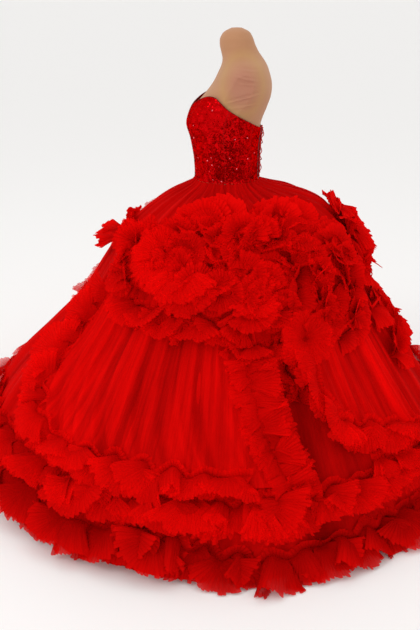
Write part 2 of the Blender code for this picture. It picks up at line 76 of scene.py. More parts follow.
class Finish:
    """A material, and short ways to make and join its nodes."""

    def __init__(self, name, **values):
        self.material = bpy.data.materials.new(name)
        self.material.use_nodes = True
        self.tree = self.material.node_tree
        self.shader = self.tree.nodes["Principled BSDF"]
        self.surface(**values)

    def fill(self, node, values):
        """Fill a node's inputs, by name or by place, and its settings. Sockets are joined."""
        for key, value in values.items():
            name = key if isinstance(key, int) else key.replace("_", " ")
            if isinstance(name, str) and name not in node.inputs:
                setattr(node, key, value)
            elif isinstance(value, bpy.types.NodeSocket):
                self.tree.links.new(value, node.inputs[name])
            else:
                socket = node.inputs[name]
                socket.default_value = (*value, 1.0) if socket.type == "RGBA" else value

    def surface(self, **values):
        self.fill(self.shader, values)

    def node(self, kind, *places, **values):
        """The outputs of a new node, filled by name and then by place."""
        made = self.tree.nodes.new("ShaderNode" + kind)
        self.fill(made, {**values, **dict(enumerate(places))})
        return made.outputs

    def math(self, operation, *terms):
        return self.node("Math", *terms, operation=operation)["Value"]

    def mix(self, share, first, second, **settings):
        return self.node("Mix", data_type="RGBA", Factor=share, A=first, B=second, **settings)["Result"]

    def bands(self, share, *stops):
        """Colours blended from one stop to the next along a share."""
        made = self.tree.nodes.new("ShaderNodeValToRGB")
        self.fill(made, {"Fac": share})
        marks = made.color_ramp.elements
        marks.remove(marks[1])
        for number, (place, colour) in enumerate(stops):
            mark = marks.new(place) if number else marks[0]
            mark.position, mark.color = place, (*colour, 1.0)
        return made.outputs["Color"]

    def attribute(self, name):
        return self.node("Attribute", attribute_name=name)["Fac"]

    def grain(self, kind, output, **values):
        """A pattern fixed to the place of the piece."""
        return self.node("Tex" + kind, Vector=self.node("TexCoord")["Object"], **values)[output]

    def bump(self, height, strength, depth):
        return self.node("Bump", Strength=strength, Distance=depth, Height=height)["Normal"]

    def grained(self, grain, first, second, strength, depth):
        """Two colours blended by a grain that also stands out a little."""
        self.surface(Base_Color=self.mix(grain, first, second), Normal=self.bump(grain, strength, depth))
        return self.material


def shaded(colour, share):
    return [share * part for part in colour]


def studio_floor():
    turns = np.arange(floor_sides) * math.tau / floor_sides
    mesh = bpy.data.meshes.new("studio_floor")
    mesh.from_pydata([(floor_radius * math.cos(a), floor_radius * math.sin(a), 0.0) for a in turns],
                     [], [tuple(range(floor_sides))])
    finish = Finish("pale_floor", Roughness=0.7)
    mottle = finish.node("TexNoise", Scale=0.7, Detail=2.0)["Fac"]
    finish.surface(Base_Color=finish.mix(mottle, floor_colour, shaded(floor_colour, floor_mottle)))
    mesh.materials.append(finish.material)
    link(bpy.data.objects.new("studio_floor", mesh))


def studio_light():
    world = bpy.data.worlds.new("studio_white")
    scene.world = world
    world.use_nodes = True
    sky = world.node_tree.nodes["Background"]
    sky.inputs["Color"].default_value = (*sky_colour, 1.0)
    sky.inputs["Strength"].default_value = sky_strength
    for name, place, side, watts in lamps:
        data = bpy.data.lights.new(name, "AREA")
        data.size = side
        data.energy = watts
        lamp = link(bpy.data.objects.new(name, data))
        lamp.location = place
        lamp.rotation_euler = (Vector(lamp_aim) - Vector(place)).to_track_quat("-Z", "Y").to_euler()


def studio_camera():
    data = bpy.data.cameras.new("photograph_camera")
    data.lens = camera_lens
    data.clip_end = 1000.0
    camera = link(bpy.data.objects.new("photograph_camera", data))
    camera.location = camera_place
    level = math.cos(camera_pitch)
    aim = Vector((-level * math.cos(camera_yaw), -level * math.sin(camera_yaw), -math.sin(camera_pitch)))
    camera.rotation_euler = aim.to_track_quat("-Z", "Y").to_euler()
    scene.camera = camera


studio_floor()
studio_light()
studio_camera()
scene.view_settings.view_transform = "Standard"


# Dress form
# A limbless half-length display form: foam under a stretched tan jersey cover. The cover is drawn
# over flat arm plates, where it puckers a little, and round the cap that closes the neck.
form_sections = (
    # height, front and back of the section, half its width
    (0.900, -0.148, 0.148, 0.166),
    (0.940, -0.155, 0.156, 0.175),
    (0.985, -0.148, 0.142, 0.162),
    (1.055, -0.127, 0.108, 0.126),
    (1.120, -0.127, 0.104, 0.127),
    (1.200, -0.138, 0.106, 0.137),
    (1.270, -0.146, 0.117, 0.147),
    (1.320, -0.128, 0.136, 0.155),
    (1.360, -0.094, 0.149, 0.160),
    (1.400, -0.063, 0.151, 0.160),
    (1.440, -0.042, 0.141, 0.148),
    (1.465, -0.031, 0.131, 0.120),
    (1.485, -0.028, 0.118, 0.086),
    (1.505, -0.032, 0.103, 0.064),
    (1.533, -0.038, 0.088, 0.056),
    (1.560, -0.034, 0.077, 0.052),
    (1.578, -0.018, 0.062, 0.040),
    (1.588, 0.004, 0.040, 0.018),
)
arm_plate_x = 0.150
arm_plate_middle = (0.045, 1.402)
arm_plate_reach = (0.066, 0.092)
arm_plate_span = (1.300, 1.480)
bust_height = 1.272
bust_angle = 27.0
bust_fullness = 0.013
bust_spread = 17.0
bust_rise = 0.055
cover_puckers = (
    # middle of the pucker (y, z), its length, its slope, how deep it is
    (0.061, 1.452, 0.030, -0.10, 0.0025),
    (0.056, 1.426, 0.034, -0.22, 0.0038),
    (0.060, 1.408, 0.026, -0.10, 0.0025),
    (0.030, 1.357, 0.034, 0.30, 0.0038),
    (0.069, 1.366, 0.030, 0.24, 0.0032),
    (0.050, 1.334, 0.040, 0.14, 0.0025),
)
# A pucker is a ridge with a trough over it. It fades out towards the front and back of the form
pucker_ridge = 0.0040
trough_width = 0.0042
trough_shift = 0.007
trough_depth = 0.7
pucker_from = 0.075
pucker_fade = 0.05
plate_softness = 0.0025
cover_columns = 112
crown_rise = 0.0012
cover_tan = (0.49, 0.250, 0.130)
cover_ochre = (0.49, 0.268, 0.120)
cover_pink = (0.46, 0.208, 0.132)
cover_blotch = (0.90, 0.84, 0.80)


def read_table(table, key):
    """Smooth values of a table's other columns wherever its first column has the values key."""
    rows = np.array(table)
    keys = rows[:, 0]
    slopes = np.gradient(rows[:, 1:], keys, axis=0)
    key = np.asarray(key, float)
    low = np.clip(np.searchsorted(keys, key) - 1, 0, len(keys) - 2)
    step = (keys[low + 1] - keys[low])[..., None]
    share = np.clip((key - keys[low])[..., None] / step, 0.0, 1.0)
    square, cube = share ** 2, share ** 3
    values = ((2 * cube - 3 * square + 1) * rows[low, 1:] + (cube - 2 * square + share) * slopes[low] * step
              + (3 * square - 2 * cube) * rows[low + 1, 1:] + (cube - square) * slopes[low + 1] * step)
    return np.moveaxis(values, -1, 0)


def unit(vectors):
    """The vectors at length one."""
    length = np.linalg.norm(vectors, axis=-1, keepdims=True)
    return vectors / np.maximum(length, 1e-9)


def alike(*values):
    """Numbers and arrays, all as arrays of one shape."""
    return np.broadcast_arrays(*(np.asarray(value, float) for value in values))


def form_point(angle, height, offset=0.0):
    """Points of the dress form's surface, moved out level by the offset."""
    angle, height = alike(angle, height)
    front, back, half = read_table(form_sections, height)
    turn = np.radians(angle)
    middle, depth = (front + back) / 2, (back - front) / 2
    away = np.abs(np.abs(angle) - bust_angle)
    bust = bust_fullness * np.exp(-(away / bust_spread) ** 2 - ((height - bust_height) / bust_rise) ** 2)
    outward = unit(np.stack([np.sin(turn) / half, -np.cos(turn) / depth], -1))
    x = half * np.sin(turn) + (bust + offset) * outward[..., 0]
    y = middle - depth * np.cos(turn) + (bust + offset) * outward[..., 1]
    # The arm plate cuts the section off flat, with a softly rounded edge
    short = (arm_plate_x + offset - np.abs(x)) / plate_softness
    x = np.sign(x) * (arm_plate_x + offset
                      - plate_softness * (np.logaddexp(0.0, short) - math.log(2) * np.exp(-short ** 2)))
    return np.stack([x, y, height], -1)


def grid_faces(rows, columns, start=0, closed=False):
    """Corner numbers of the four-sided faces of one grid of points."""
    across = columns if closed else columns - 1
    row, column = np.meshgrid(np.arange(rows - 1), np.arange(across), indexing="ij")
    following = (column + 1) % columns
    corners = np.stack([row * columns + column, row * columns + following,
                        (row + 1) * columns + following, (row + 1) * columns + column], -1)
    return corners.reshape(-1, 4) + start


def cloth_mesh(name, points, faces, material, shares=None, smooth=True):
    """One mesh object from an array of points and an array of faces with equally many corners."""
    mesh = bpy.data.meshes.new(name)
    count, corners = faces.shape
    mesh.vertices.add(len(points))
    mesh.vertices.foreach_set("co", np.ascontiguousarray(points, np.float32).ravel())
    mesh.loops.add(count * corners)
    mesh.loops.foreach_set("vertex_index", np.ascontiguousarray(faces, np.int32).ravel())
    mesh.polygons.add(count)
    mesh.polygons.foreach_set("loop_start", np.arange(count, dtype=np.int32) * corners)
    mesh.update(calc_edges=True)
    mesh.validate()
    for key, values in (shares or {}).items():
        layer = mesh.attributes.new(key, "FLOAT", "POINT")
        layer.data.foreach_set("value", np.ascontiguousarray(values, np.float32).ravel())
    if smooth:
        mesh.shade_smooth()
    mesh.materials.append(material)
    return link(bpy.data.objects.new(name, mesh))


def dress(piece, slot, *nodes):
    """Put a piece on the gown's one body, in place of the plain solids it stands for."""
    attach(piece, "root")
    if nodes:
        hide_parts(*nodes)
    return piece


def jersey():
    knit = Finish("tan_jersey", Roughness=0.82, Specular_IOR_Level=0.25, Sheen_Weight=0.12,
                  Sheen_Roughness=0.5)
    place = knit.node("SeparateXYZ", knit.node("TexCoord")["Object"])
    # How far a point lies from the middle of the arm plate, along the body and up it
    squares = []
    for axis, middle, reach in zip("YZ", arm_plate_middle, arm_plate_reach):
        away = knit.math("DIVIDE", knit.math("SUBTRACT", place[axis], middle), reach)
        squares.append(knit.math("MULTIPLY", away, away))
    share = knit.math("MULTIPLY", knit.math("ADD", *squares), 0.42)
    bands = knit.bands(share, (0.08, cover_pink), (0.48, cover_ochre), (0.80, cover_tan))
    blotch = knit.grain("Noise", "Fac", Scale=14.0, Detail=3.0)
    rows = knit.grain("Wave", "Fac", Scale=420.0, Distortion=1.5, Detail=1.0, bands_direction="Z")
    knit.surface(Base_Color=knit.mix(blotch, bands, cover_blotch, blend_type="MULTIPLY"),
                 Normal=knit.bump(rows, 0.12, 0.0004))
    return knit.material


def form_cover():
    bottom, top = form_sections[0][0], form_sections[-1][0]
    low, high = arm_plate_span
    heights = np.concatenate([np.linspace(bottom, low, 40, endpoint=False),
                              np.linspace(low, high, 96, endpoint=False), np.linspace(high, top, 22)])
    angles = (np.arange(cover_columns) + 0.5) * 360.0 / cover_columns
    angles = np.where(angles > 180.0, angles - 360.0, angles)
    points = form_point(angles[None, :], heights[:, None])
    side = np.clip((np.abs(points[..., 0]) - pucker_from) / pucker_fade, 0.0, 1.0)
    for y, z, length, slope, depth in cover_puckers:
        along = points[..., 1] - y
        down = points[..., 2] - z - slope * along
        ridge = np.exp(-(down / pucker_ridge) ** 2)
        ridge = ridge - trough_depth * np.exp(-((down - trough_shift) / trough_width) ** 2)
        points[..., 0] += np.sign(points[..., 0]) * side * depth * ridge * np.exp(-(along / length) ** 2)
    centre_top = points[-1].mean(0) + np.array([0.0, 0.0, crown_rise])
    crown = [points[-1] + (centre_top - points[-1]) * share for share in (0.35, 0.7, 0.97)]
    centre_bottom = points[0].mean(0)
    base = [points[0] + (centre_bottom - points[0]) * share for share in (0.97, 0.5, 0.04)]
    grid = np.concatenate([np.stack(base), points, np.stack(crown)])
    faces = grid_faces(len(grid), cover_columns, closed=True)
    piece = cloth_mesh("form_jersey_cover", grid.reshape(-1, 3), faces, jersey())
    dress(piece, "form_cover", "form_body")


form_cover()


# Stand
# A painted steel tube under the form and a spun round foot, both plain. Only the space
# under the skirt shows them.
pole_radius = 0.0175
pole_edge = 0.001
pole_gap = 0.0003
foot_profile = (
    # radius, height, from the middle of the sole round the rim to the middle of the top
    (0.0006, 0.0),
    (0.207, 0.0),
    (0.210, 0.003),
    (0.210, 0.014),
    (0.207, 0.019),
    (0.200, 0.022),
    (0.030, 0.022),
    (0.0006, 0.022),
)
stand_grey = (0.060, 0.060, 0.064)


def turned(name, profile, material, sides=72):
    """A round piece from its profile of radius and height."""
    turns = np.arange(sides) * math.tau / sides
    rings = [np.stack([r * np.cos(turns), r * np.sin(turns), np.full(sides, z)], -1) for r, z in profile]
    grid = np.stack(rings)
    return cloth_mesh(name, grid.reshape(-1, 3), grid_faces(len(grid), sides, closed=True), material)


def stand():
    paint = Finish("painted_steel", Roughness=0.42, Metallic=0.2)
    wear = paint.grain("Noise", "Fac", Scale=60.0, Detail=4.0)
    steel = paint.grained(wear, stand_grey, shaded(stand_grey, 1.5), 0.15, 0.0003)
    (hub, _), (_, foot_top) = foot_profile[0], foot_profile[-1]
    low, high = foot_top + pole_gap, form_sections[0][0] - pole_gap
    inner = pole_radius - pole_edge
    pole = turned("stand_tube", ((hub, low), (inner, low), (pole_radius, low + pole_edge),
                                 (pole_radius, high - pole_edge), (inner, high), (hub, high)), steel)
    dress(pole, "stand_metal", "stand_pole")
    dress(turned("stand_round_foot", foot_profile, steel), "stand_metal", "stand_foot")


stand()


# Bodice
# Seven boned panels of net sewn all over with small round sequins, a satin strip down each back
# edge and a narrow dark bias binding round the neckline, whose dark red is painted shadow along the top edge.
# It is laced on over the jersey cover.
neckline = (
    # angle, height of the top edge there
    (0.0, 1.305),
    (12.0, 1.328),
    (27.0, 1.353),
    (42.0, 1.363),
    (52.0, 1.361),
    (65.0, 1.348),
    (90.0, 1.316),
    (110.0, 1.293),
    (130.0, 1.272),
    (150.0, 1.254),
    (180.0, 1.241),
)
waist_height = 1.0580
bodice_cloth = 0.0020
seam_gap = 0.0003
bodice_lift = 0.0018
top_lift = 0.0035
cup_lift = 0.006
cup_spread = 26.0
back_edge = 171.5
facing_edge = 164.0
bodice_panels = (
    # name, first seam, last seam, both in degrees, and the flat size of the cut panel
    ("centre_front", -30.0, 30.0, (0.145, 0.300)),
    ("cup_panel", 30.0, 88.0, (0.175, 0.300)),
    ("side_panel", 88.0, 136.0, (0.115, 0.245)),
    ("back_panel", 136.0, back_edge, (0.082, 0.200)),
)
# Half the gap between two panels, as an angle at the bodice's mean radius
half_gap = math.degrees(seam_gap / 2 / 0.137)
facing_lift = (0.0004, 0.0014)
facing_satin = (0.16, 0.006, 0.007)
sequin_radius = 0.0027
sequin_pitch = 0.0043
# Rows lie closer than the sequins in a row. The first and the last keep clear of the edges
sequin_rows = 0.87
row_start = 0.006
row_span = 0.988
sequin_stray = (0.10, 0.002)
sequin_lift = 0.0009
sequin_sides = 6
sequin_sizes = (0.9, 1.08)
seam_margin = 0.9
sequin_tilt = 0.11
sequin_nod = 0.12
sequin_patch = 75.0
patch_tilt = 0.20
patch_shifts = (Vector((0.0, 0.0, 0.0)), Vector((31.0, 7.0, 5.0)), Vector((3.0, 57.0, 11.0)))
# A few sequins, those whose chance passes this share, are coloured pale pink as painted glints
painted_glint_share = 0.993
sequin_reds = ((0.38, 0.0008, 0.0012), (0.72, 0.002, 0.004))
painted_glint_red = (1.0, 0.20, 0.24)
# A sequin's shade: its middle, and how much it goes by the single sequin and by the patch it lies in
shade_middle, shade_single, shade_patch = 0.32, 0.35, 0.55
net_reds = ((0.40, 0.003, 0.004), (0.58, 0.004, 0.005))
binding_gap = 0.3
binding_rise = 0.0004
# The binding's dark red is painted shadow: it stands for the shadow line along the neckline's top edge
binding_shadow_red = (0.17, 0.010, 0.008)
binding_radius = 0.0019


def bodice_top(angle):
    return read_table(neckline, np.abs(angle))[0]


def bodice_point(angle, share, offset=0.0):
    """Points of the bodice at a share of the way from the waist to its top edge."""
    angle, share = alike(angle, share)
    height = waist_height + (bodice_top(angle) - waist_height) * share
    cup = cup_lift * np.exp(-((np.abs(angle) - bust_angle) / cup_spread) ** 2)
    ease = bodice_lift + (top_lift + cup) * np.clip(share, 0.0, 1.0) ** 3
    return form_point(angle, height, ease + offset)


def bodice_normal(angle, share):
    around = bodice_point(angle + 0.4, share) - bodice_point(angle - 0.4, share)
    rising = bodice_point(angle, share + 0.01) - bodice_point(angle, share - 0.01)
    return unit(np.cross(around, rising))


def wall_mesh(name, outer, inner, material):
    """A closed thin wall between two grids of points."""
    rows, columns = outer.shape[:2]
    inside = rows * columns
    faces = [grid_faces(rows, columns), grid_faces(rows, columns, inside)[:, ::-1]]
    last = (rows - 1) * columns
    for start, step, count in ((0, 1, columns), (last, 1, columns), (0, columns, rows),
                               (columns - 1, columns, rows)):
        rim = start + step * np.arange(count)
        strip = np.stack([rim[:-1], rim[1:], rim[1:] + inside, rim[:-1] + inside], -1)
        faces.append(strip if (start, step) in ((last, 1), (0, columns)) else strip[:, ::-1])
    points = np.concatenate([outer.reshape(-1, 3), inner.reshape(-1, 3)])
    piece = cloth_mesh(name, points, np.concatenate(faces), material)
    piece.data.set_sharp_from_angle(angle=math.radians(50.0))
    return piece


def flipped(points):
    """The same points on the wearer's right."""
    return points * np.array([-1.0, 1.0, 1.0])


def backing_net():
    net = Finish("bodice_net", Roughness=0.8, Specular_IOR_Level=0.03)
    return net.grained(net.grain("Voronoi", "Distance", Scale=520.0), *net_reds, 0.4, 0.0004)


def sequin_film():
    film = Finish("sequin_film", Metallic=1.0, Specular_Tint=(1.0, 0.03, 0.04))
    chance = film.attribute("chance")
    # The top of the ramp is the pale pink of a painted glint
    reds = film.bands(chance, (0.0, sequin_reds[0]), (0.92, sequin_reds[1]), (0.99, painted_glint_red))
    polish = film.node("MapRange", Value=chance, To_Min=0.34, To_Max=0.16)["Result"]
    film.surface(Base_Color=reds, Roughness=polish)
    return film.material


def satin(name, colour, roughness):
    cloth = Finish(name, Roughness=roughness, Specular_IOR_Level=0.35, Specular_Tint=(1.0, 0.25, 0.25))
    threads = cloth.grain("Noise", "Fac", Scale=900.0, Detail=1.0)
    return cloth.grained(threads, colour, shaded(colour, 0.72), 0.2, 0.0003)


def run_length(path):
    """How far each point of a path lies from its start, along the path."""
    return np.concatenate([[0.0], np.cumsum(np.linalg.norm(np.diff(path, axis=0), axis=1))])


def sequins(name, first, last, flip, rng, film):
    """Round sequins in close staggered rows, each tilted its own way."""
    centres, outs = [], []
    rows = int((float(bodice_top((first + last) / 2)) - waist_height) / (sequin_pitch * sequin_rows))
    for row in range(rows + 1):
        share = row_start + row_span * row / rows
        span = run_length(bodice_point(np.linspace(first, last, 9), share))[-1]
        count = int(span / sequin_pitch)
        angle = first + (last - first) * (np.arange(count) + 0.25 + 0.5 * (row % 2)) / count
        angle = angle + rng.normal(0.0, sequin_stray[0], count)
        level = np.clip(share + rng.normal(0.0, sequin_stray[1], count), 0.004, 0.996)
        centres.append(bodice_point(angle, level, bodice_cloth + sequin_lift))
        outs.append(bodice_normal(angle, level))
    centres, outs = np.concatenate(centres), np.concatenate(outs)
    total = len(centres)
    upright = np.array([0.0, 0.0, 1.0])
    level_way = unit(np.cross(upright, outs))
    rise_way = np.cross(outs, level_way)
    # The cloth is not quite flat, so that neighbours catch the light together
    patch = np.array([[noise.noise(Vector(centre) * sequin_patch + shift) for shift in patch_shifts]
                      for centre in centres])
    lean = rng.normal(0.0, sequin_tilt, (total, 2)) + patch_tilt * patch[:, :2]
    tilted = unit(outs + level_way * lean[:, :1] + rise_way * (lean[:, 1:] - sequin_nod))
    across = unit(np.cross(upright, tilted))
    upward = np.cross(tilted, across)
    corners = np.arange(sequin_sides) * math.tau / sequin_sides
    radius = sequin_radius * rng.uniform(*sequin_sizes, (total, 1, 1))
    points = (centres[:, None] + radius * (np.cos(corners)[None, :, None] * across[:, None]
                                           + np.sin(corners)[None, :, None] * upward[:, None]))
    chance = rng.uniform(0.0, 1.0, total)
    shade = np.clip(shade_single * chance + shade_middle + shade_patch * patch[:, 2], 0.0, 0.9)
    # The highest chances keep their value and take the pale pink of a painted glint
    chance = np.where(chance > painted_glint_share, chance, shade)
    if flip:
        points = flipped(points)[:, ::-1]
    faces = np.arange(total * sequin_sides).reshape(total, sequin_sides)
    return cloth_mesh(name, points.reshape(-1, 3), faces, film, {"chance": np.repeat(chance, sequin_sides)},
                      smooth=False)


def bodice_layer(name, side, angles, under, over, material):
    """A layer of the bodice between two heights over the jersey, on one side of the gown."""
    shares = np.linspace(0.0, 1.0, 37)[:, None]
    faces = [bodice_point(angles[None, :], shares, height) for height in (over, under)]
    if side == "_right":
        faces = [flipped(face) for face in faces]
    return wall_mesh(name + side, *faces, material)


def bodice():
    rng = np.random.default_rng(11)
    net, film = backing_net(), sequin_film()
    strip = satin("back_edge_satin", facing_satin, 0.5)
    for name, first, last, flat in bodice_panels:
        angles = np.linspace(first + half_gap, last - half_gap, int((last - first) / 2.5) + 1)
        for side in ("",) if first < 0 else ("_left", "_right"):
            panel = bodice_layer("bodice_net_" + name, side, angles, 0.0, bodice_cloth, net)
            dress(panel, "red_sequins", "bodice_" + name + side)
            cover_end = facing_edge if last == back_edge else last
            rows = sequins("sequins_" + name + side, first + seam_margin, cover_end - seam_margin,
                           side == "_right", rng, film)
            dress(rows, "red_sequins")
            if last == back_edge:
                band = np.linspace(facing_edge, back_edge - 0.2, 5)
                heights = (bodice_cloth + lift for lift in facing_lift)
                facing = bodice_layer("back_edge_strip", side, band, *heights, strip)
                dress(facing, "red_sequins")


def tube(name, path, radius, sides, material):
    """A round cord along a path of points, closed to a small hole at both ends."""
    path = np.asarray(path)
    forward = unit(np.gradient(path, axis=0))
    across = unit(np.cross(forward, np.array([0.02, 1.0, 0.11])))
    outward = np.cross(across, forward)
    turns = np.arange(sides) * math.tau / sides
    ring = np.cos(turns)[None, :, None] * across[:, None] + np.sin(turns)[None, :, None] * outward[:, None]
    grid = np.concatenate([path[None, :1] + 0.1 * radius * ring[:1], path[:, None] + radius * ring,
                           path[None, -1:] + 0.1 * radius * ring[-1:]])
    return cloth_mesh(name, grid.reshape(-1, 3), grid_faces(len(grid), sides, closed=True), material)


def neckline_shadow_binding():
    angles = np.linspace(-back_edge + binding_gap, back_edge - binding_gap, 260)
    path = bodice_point(angles, 1.0, bodice_cloth / 2)
    path[:, 2] += binding_rise
    # Its dark red paints the shadow line along the top edge
    dress(tube("neckline_shadow_binding", path, binding_radius, 8, satin("binding_shadow_satin", binding_shadow_red, 0.9)),
          "red_sequins")


bodice()
neckline_shadow_binding()


# Lacing
# A row of scalloped satin cord loops is stitched along both back edges, and two thin laces cross
# between them from the top loop to the waist.
loop_count = 6
loop_cord = 0.0027
loop_reach = 0.0085
loop_clearance = 0.0013
lace_radius = 0.0017
lace_lift = 0.0034
lace_crossing = 0.0034
loop_shares = (-0.42, -0.26, 0.0, 0.26, 0.42)
loop_margins = (0.012, 0.021)
loop_inset = 2.0
lace_in_loop = 0.55
lace_slant = 0.12
lace_rise = 0.55
over_share = 1.75
cord_red = (0.62, 0.005, 0.006)


def bodice_back_point(angle, height, offset):
    share = (height - waist_height) / (bodice_top(angle) - waist_height)
    return bodice_point(angle, share, offset)


def rounded(path, per_span):
    """A path with a smooth curve through its points."""
    knots = np.column_stack([np.arange(len(path)), path])
    return read_table(knots, np.linspace(0.0, len(path) - 1.0, (len(path) - 1) * per_span + 1)).T


def lacing():
    cord = satin("satin_cord", cord_red, 0.55)
    top, waist = float(bodice_top(back_edge)) - loop_margins[0], waist_height + loop_margins[1]
    heights = np.linspace(top, waist, loop_count)
    pitch = heights[0] - heights[1]
    edge_angle, last_share = back_edge - loop_inset, loop_shares[-1]
    lift = bodice_cloth + loop_cord + loop_clearance
    path = []
    for height in heights:
        for share in loop_shares:
            swell = math.cos(share / last_share * math.pi / 2) ** 0.5 if abs(share) < last_share else 0.0
            path.append(bodice_back_point(edge_angle, height - share * pitch, lift)
                        - np.array([loop_reach * swell, 0.0, 0.0]))
    path = rounded(np.array(path), 4)
    for side, route in (("_left", path), ("_right", flipped(path))):
        dress(tube("loop_cord" + side, route, loop_cord, 9, cord), "red_cord", "lacing_loops" + side)
    reach = abs(float(bodice_back_point(edge_angle, heights[0], 0.0)[0])) - loop_reach * lace_in_loop
    base = bodice_cloth + lace_lift + loop_cord
    for name, node, sign, crossing in (("lace_beneath", "lace_under", 1.0, 0.0),
                                       ("lace_on_top", "lace_over", -1.0, lace_crossing * over_share)):
        path = []
        for number, height in enumerate(heights):
            edge = bodice_back_point(180.0, height, base)
            across = reach * sign * (1 if number % 2 == 0 else -1)
            for drop in (lace_slant, -lace_slant):
                path.append(edge + np.array([across, 0.0, drop * pitch + crossing * lace_rise]))
            if number < loop_count - 1:
                path.append(bodice_back_point(180.0, height - pitch / 2, base + crossing))
        dress(tube(name, rounded(np.array(path), 5), lace_radius, 8, cord), "red_cord", node)


lacing()


# Skirt
# Six gores of layered stiff red net, gathered into the waist seam and seamed to each other. The
# gathers run out into long soft folds towards the floor.
skirt_rings = (
    # height, front and side and back reach of each ring from the axis, waist first
    (1.0577, -0.1316, 0.1310, 0.1128),
    (1.0450, -0.1480, 0.1480, 0.1340),
    (1.0290, -0.1860, 0.1920, 0.2000),
    (0.9980, -0.2400, 0.2640, 0.3030),
    (0.9400, -0.3150, 0.3400, 0.3950),
    (0.8500, -0.4050, 0.4120, 0.4550),
    (0.7400, -0.4800, 0.4800, 0.4970),
    (0.6100, -0.5650, 0.5620, 0.5600),
    (0.4700, -0.7000, 0.6650, 0.6500),
    (0.3200, -0.8500, 0.7750, 0.7550),
    (0.1600, -0.9500, 0.9000, 0.8650),
    (0.0040, -0.9850, 0.9980, 0.9400),
)
skirt_levels = [(number / (len(skirt_rings) - 1), *ring) for number, ring in enumerate(skirt_rings)]
skirt_folds = 18
hem_fold_depth = 0.013
yoke_ease = 0.009
yoke_middle = 0.20
yoke_width = 0.13
soft_folds = (
    # how many round the skirt, how deep at the waist, how deep at the hem, where the first one starts
    (31, 0.0006, 0.0044, 0.7),
    (47, 0.0008, 0.0036, 2.1),
    (71, 0.0005, 0.0024, 4.4),
    (103, 0.0003, 0.0010, 1.3),
)
gores = (
    # name, first seam in degrees, sides
    ("front_gore", -30.0, ("",)),
    ("side_front_gore", 30.0, ("_left", "_right")),
    ("side_back_gore", 90.0, ("_left", "_right")),
    ("back_gore", 150.0, ("",)),
)
gore_angle = 60.0
net_deep = (0.40, 0.0012, 0.0010)
net_bright = (0.76, 0.0020, 0.0015)
net_tone = (0.36, 0.24)
tone_fold = 0.007
# Painted shadow of the cascade on the net under it: middle and width in degrees, where that starts on the way
# down and over how far it grows, and how dark it gets
shade_angle = 114.0
shade_width = 11.0
shade_start = 0.55
shade_growth = 0.15
shade_depth = 0.80
floor_gap = 0.003


def skirt_point(angle, down):
    """Points of the skirt's plain form, without folds."""
    angle, down = alike(angle, down)
    height, front, half, back = read_table(skirt_levels, down)
    turn = np.radians(angle)
    return np.stack([half * np.sin(turn), (front + back) / 2 - (back - front) / 2 * np.cos(turn), height], -1)


def skirt_normal(angle, down):
    """The directions straight out of the skirt."""
    angle, down = alike(angle, down)
    low, high = np.maximum(down - 0.004, 0.0), np.minimum(down + 0.004, 1.0)
    around = skirt_point(angle + 0.5, down) - skirt_point(angle - 0.5, down)
    return unit(np.cross(skirt_point(angle, high) - skirt_point(angle, low), around))


def large_folds(angle, down):
    return hem_fold_depth * np.clip(down, 0.0, 1.0) ** 1.4 * np.cos(np.radians(skirt_folds * angle))


def fold_height(angle, down):
    """How far the gathers stand out or in: the large folds, and the soft ones between them."""
    down = np.clip(down, 0.0, 1.0)
    height = large_folds(angle, down) - yoke_ease * np.exp(-((down - yoke_middle) / yoke_width) ** 2)
    for count, top, hem, start in soft_folds:
        sway = 0.5 * np.sin(2.2 * down + start)
        height = height + (top + (hem - top) * down) * np.sin(np.radians(count * angle) + start + sway)
    return height


def net_cloth(name, deep, bright, streaks=0.0, glow=0.3, sheer=0.0, folds=0.11):
    """Layered net: fine mesh, cloudy where the layers gather, darker towards its seam and brighter towards its
    free edge, partly from the layers and partly as painted shade and light.
    """
    net = Finish(name, Roughness=0.9, Specular_IOR_Level=0.02)
    cloud = net.grain("Noise", "Fac", Scale=7.0, Detail=4.0, Roughness=0.6)
    # The fold share paints shade in the fold valleys and light on the crests. The edge share carries the
    # painted shade at a seam and each piece's painted light or shade
    depth = net.math("MULTIPLY_ADD", net.attribute("fold_shade"), folds, net.attribute("edge"))
    depth = net.math("MULTIPLY_ADD", cloud, 0.7, depth)
    level = net.node("MapRange", Value=depth, From_Min=0.25, From_Max=1.20)["Result"]
    colour = net.mix(level, deep, bright)
    if streaks:
        # Lines that run up and down the skirt, by the turn round its axis and the height: partly the net's
        # layers, partly painted light and shade of soft folds
        place = net.node("SeparateXYZ", net.node("TexCoord")["Object"])
        polar = net.node("CombineXYZ", net.math("ARCTAN2", place["X"], place["Y"]), place["Z"])["Vector"]
        stretch = net.node("Mapping", Vector=polar, Scale=(11.0, 0.8, 1.0))["Vector"]
        lines = net.node("TexNoise", noise_dimensions="2D", Vector=stretch, Scale=1.0, Detail=7.0,
                         Roughness=0.70)["Fac"]
        contrast = net.node("MapRange", Value=lines, From_Min=0.30, From_Max=0.70,
                            To_Min=1.0 - streaks, To_Max=1.0 + streaks)["Result"]
        colour = net.node("VectorMath", colour, operation="SCALE", Scale=contrast)["Vector"]
    holes = net.grain("Voronoi", "Distance", feature="DISTANCE_TO_EDGE", Scale=650.0)
    net.surface(Base_Color=colour, Normal=net.bump(holes, 0.25, 0.0005))
    through = net.node("BsdfTranslucent", Color=colour)[0]
    cloth = net.node("MixShader", glow, net.shader.outputs[0], through)[0]
    if sheer:
        # The layers end at different lengths, so the cloth thins out towards its edge
        thinning = net.node("MapRange", Value=net.attribute("fade"), From_Min=0.45,
                            To_Min=0.4 * sheer, To_Max=1.7 * sheer)["Result"]
        cloth = net.node("MixShader", thinning, cloth, net.node("BsdfTransparent")[0])[0]
    net.fill(net.tree.nodes["Material Output"], {"Surface": cloth})
    return net.material


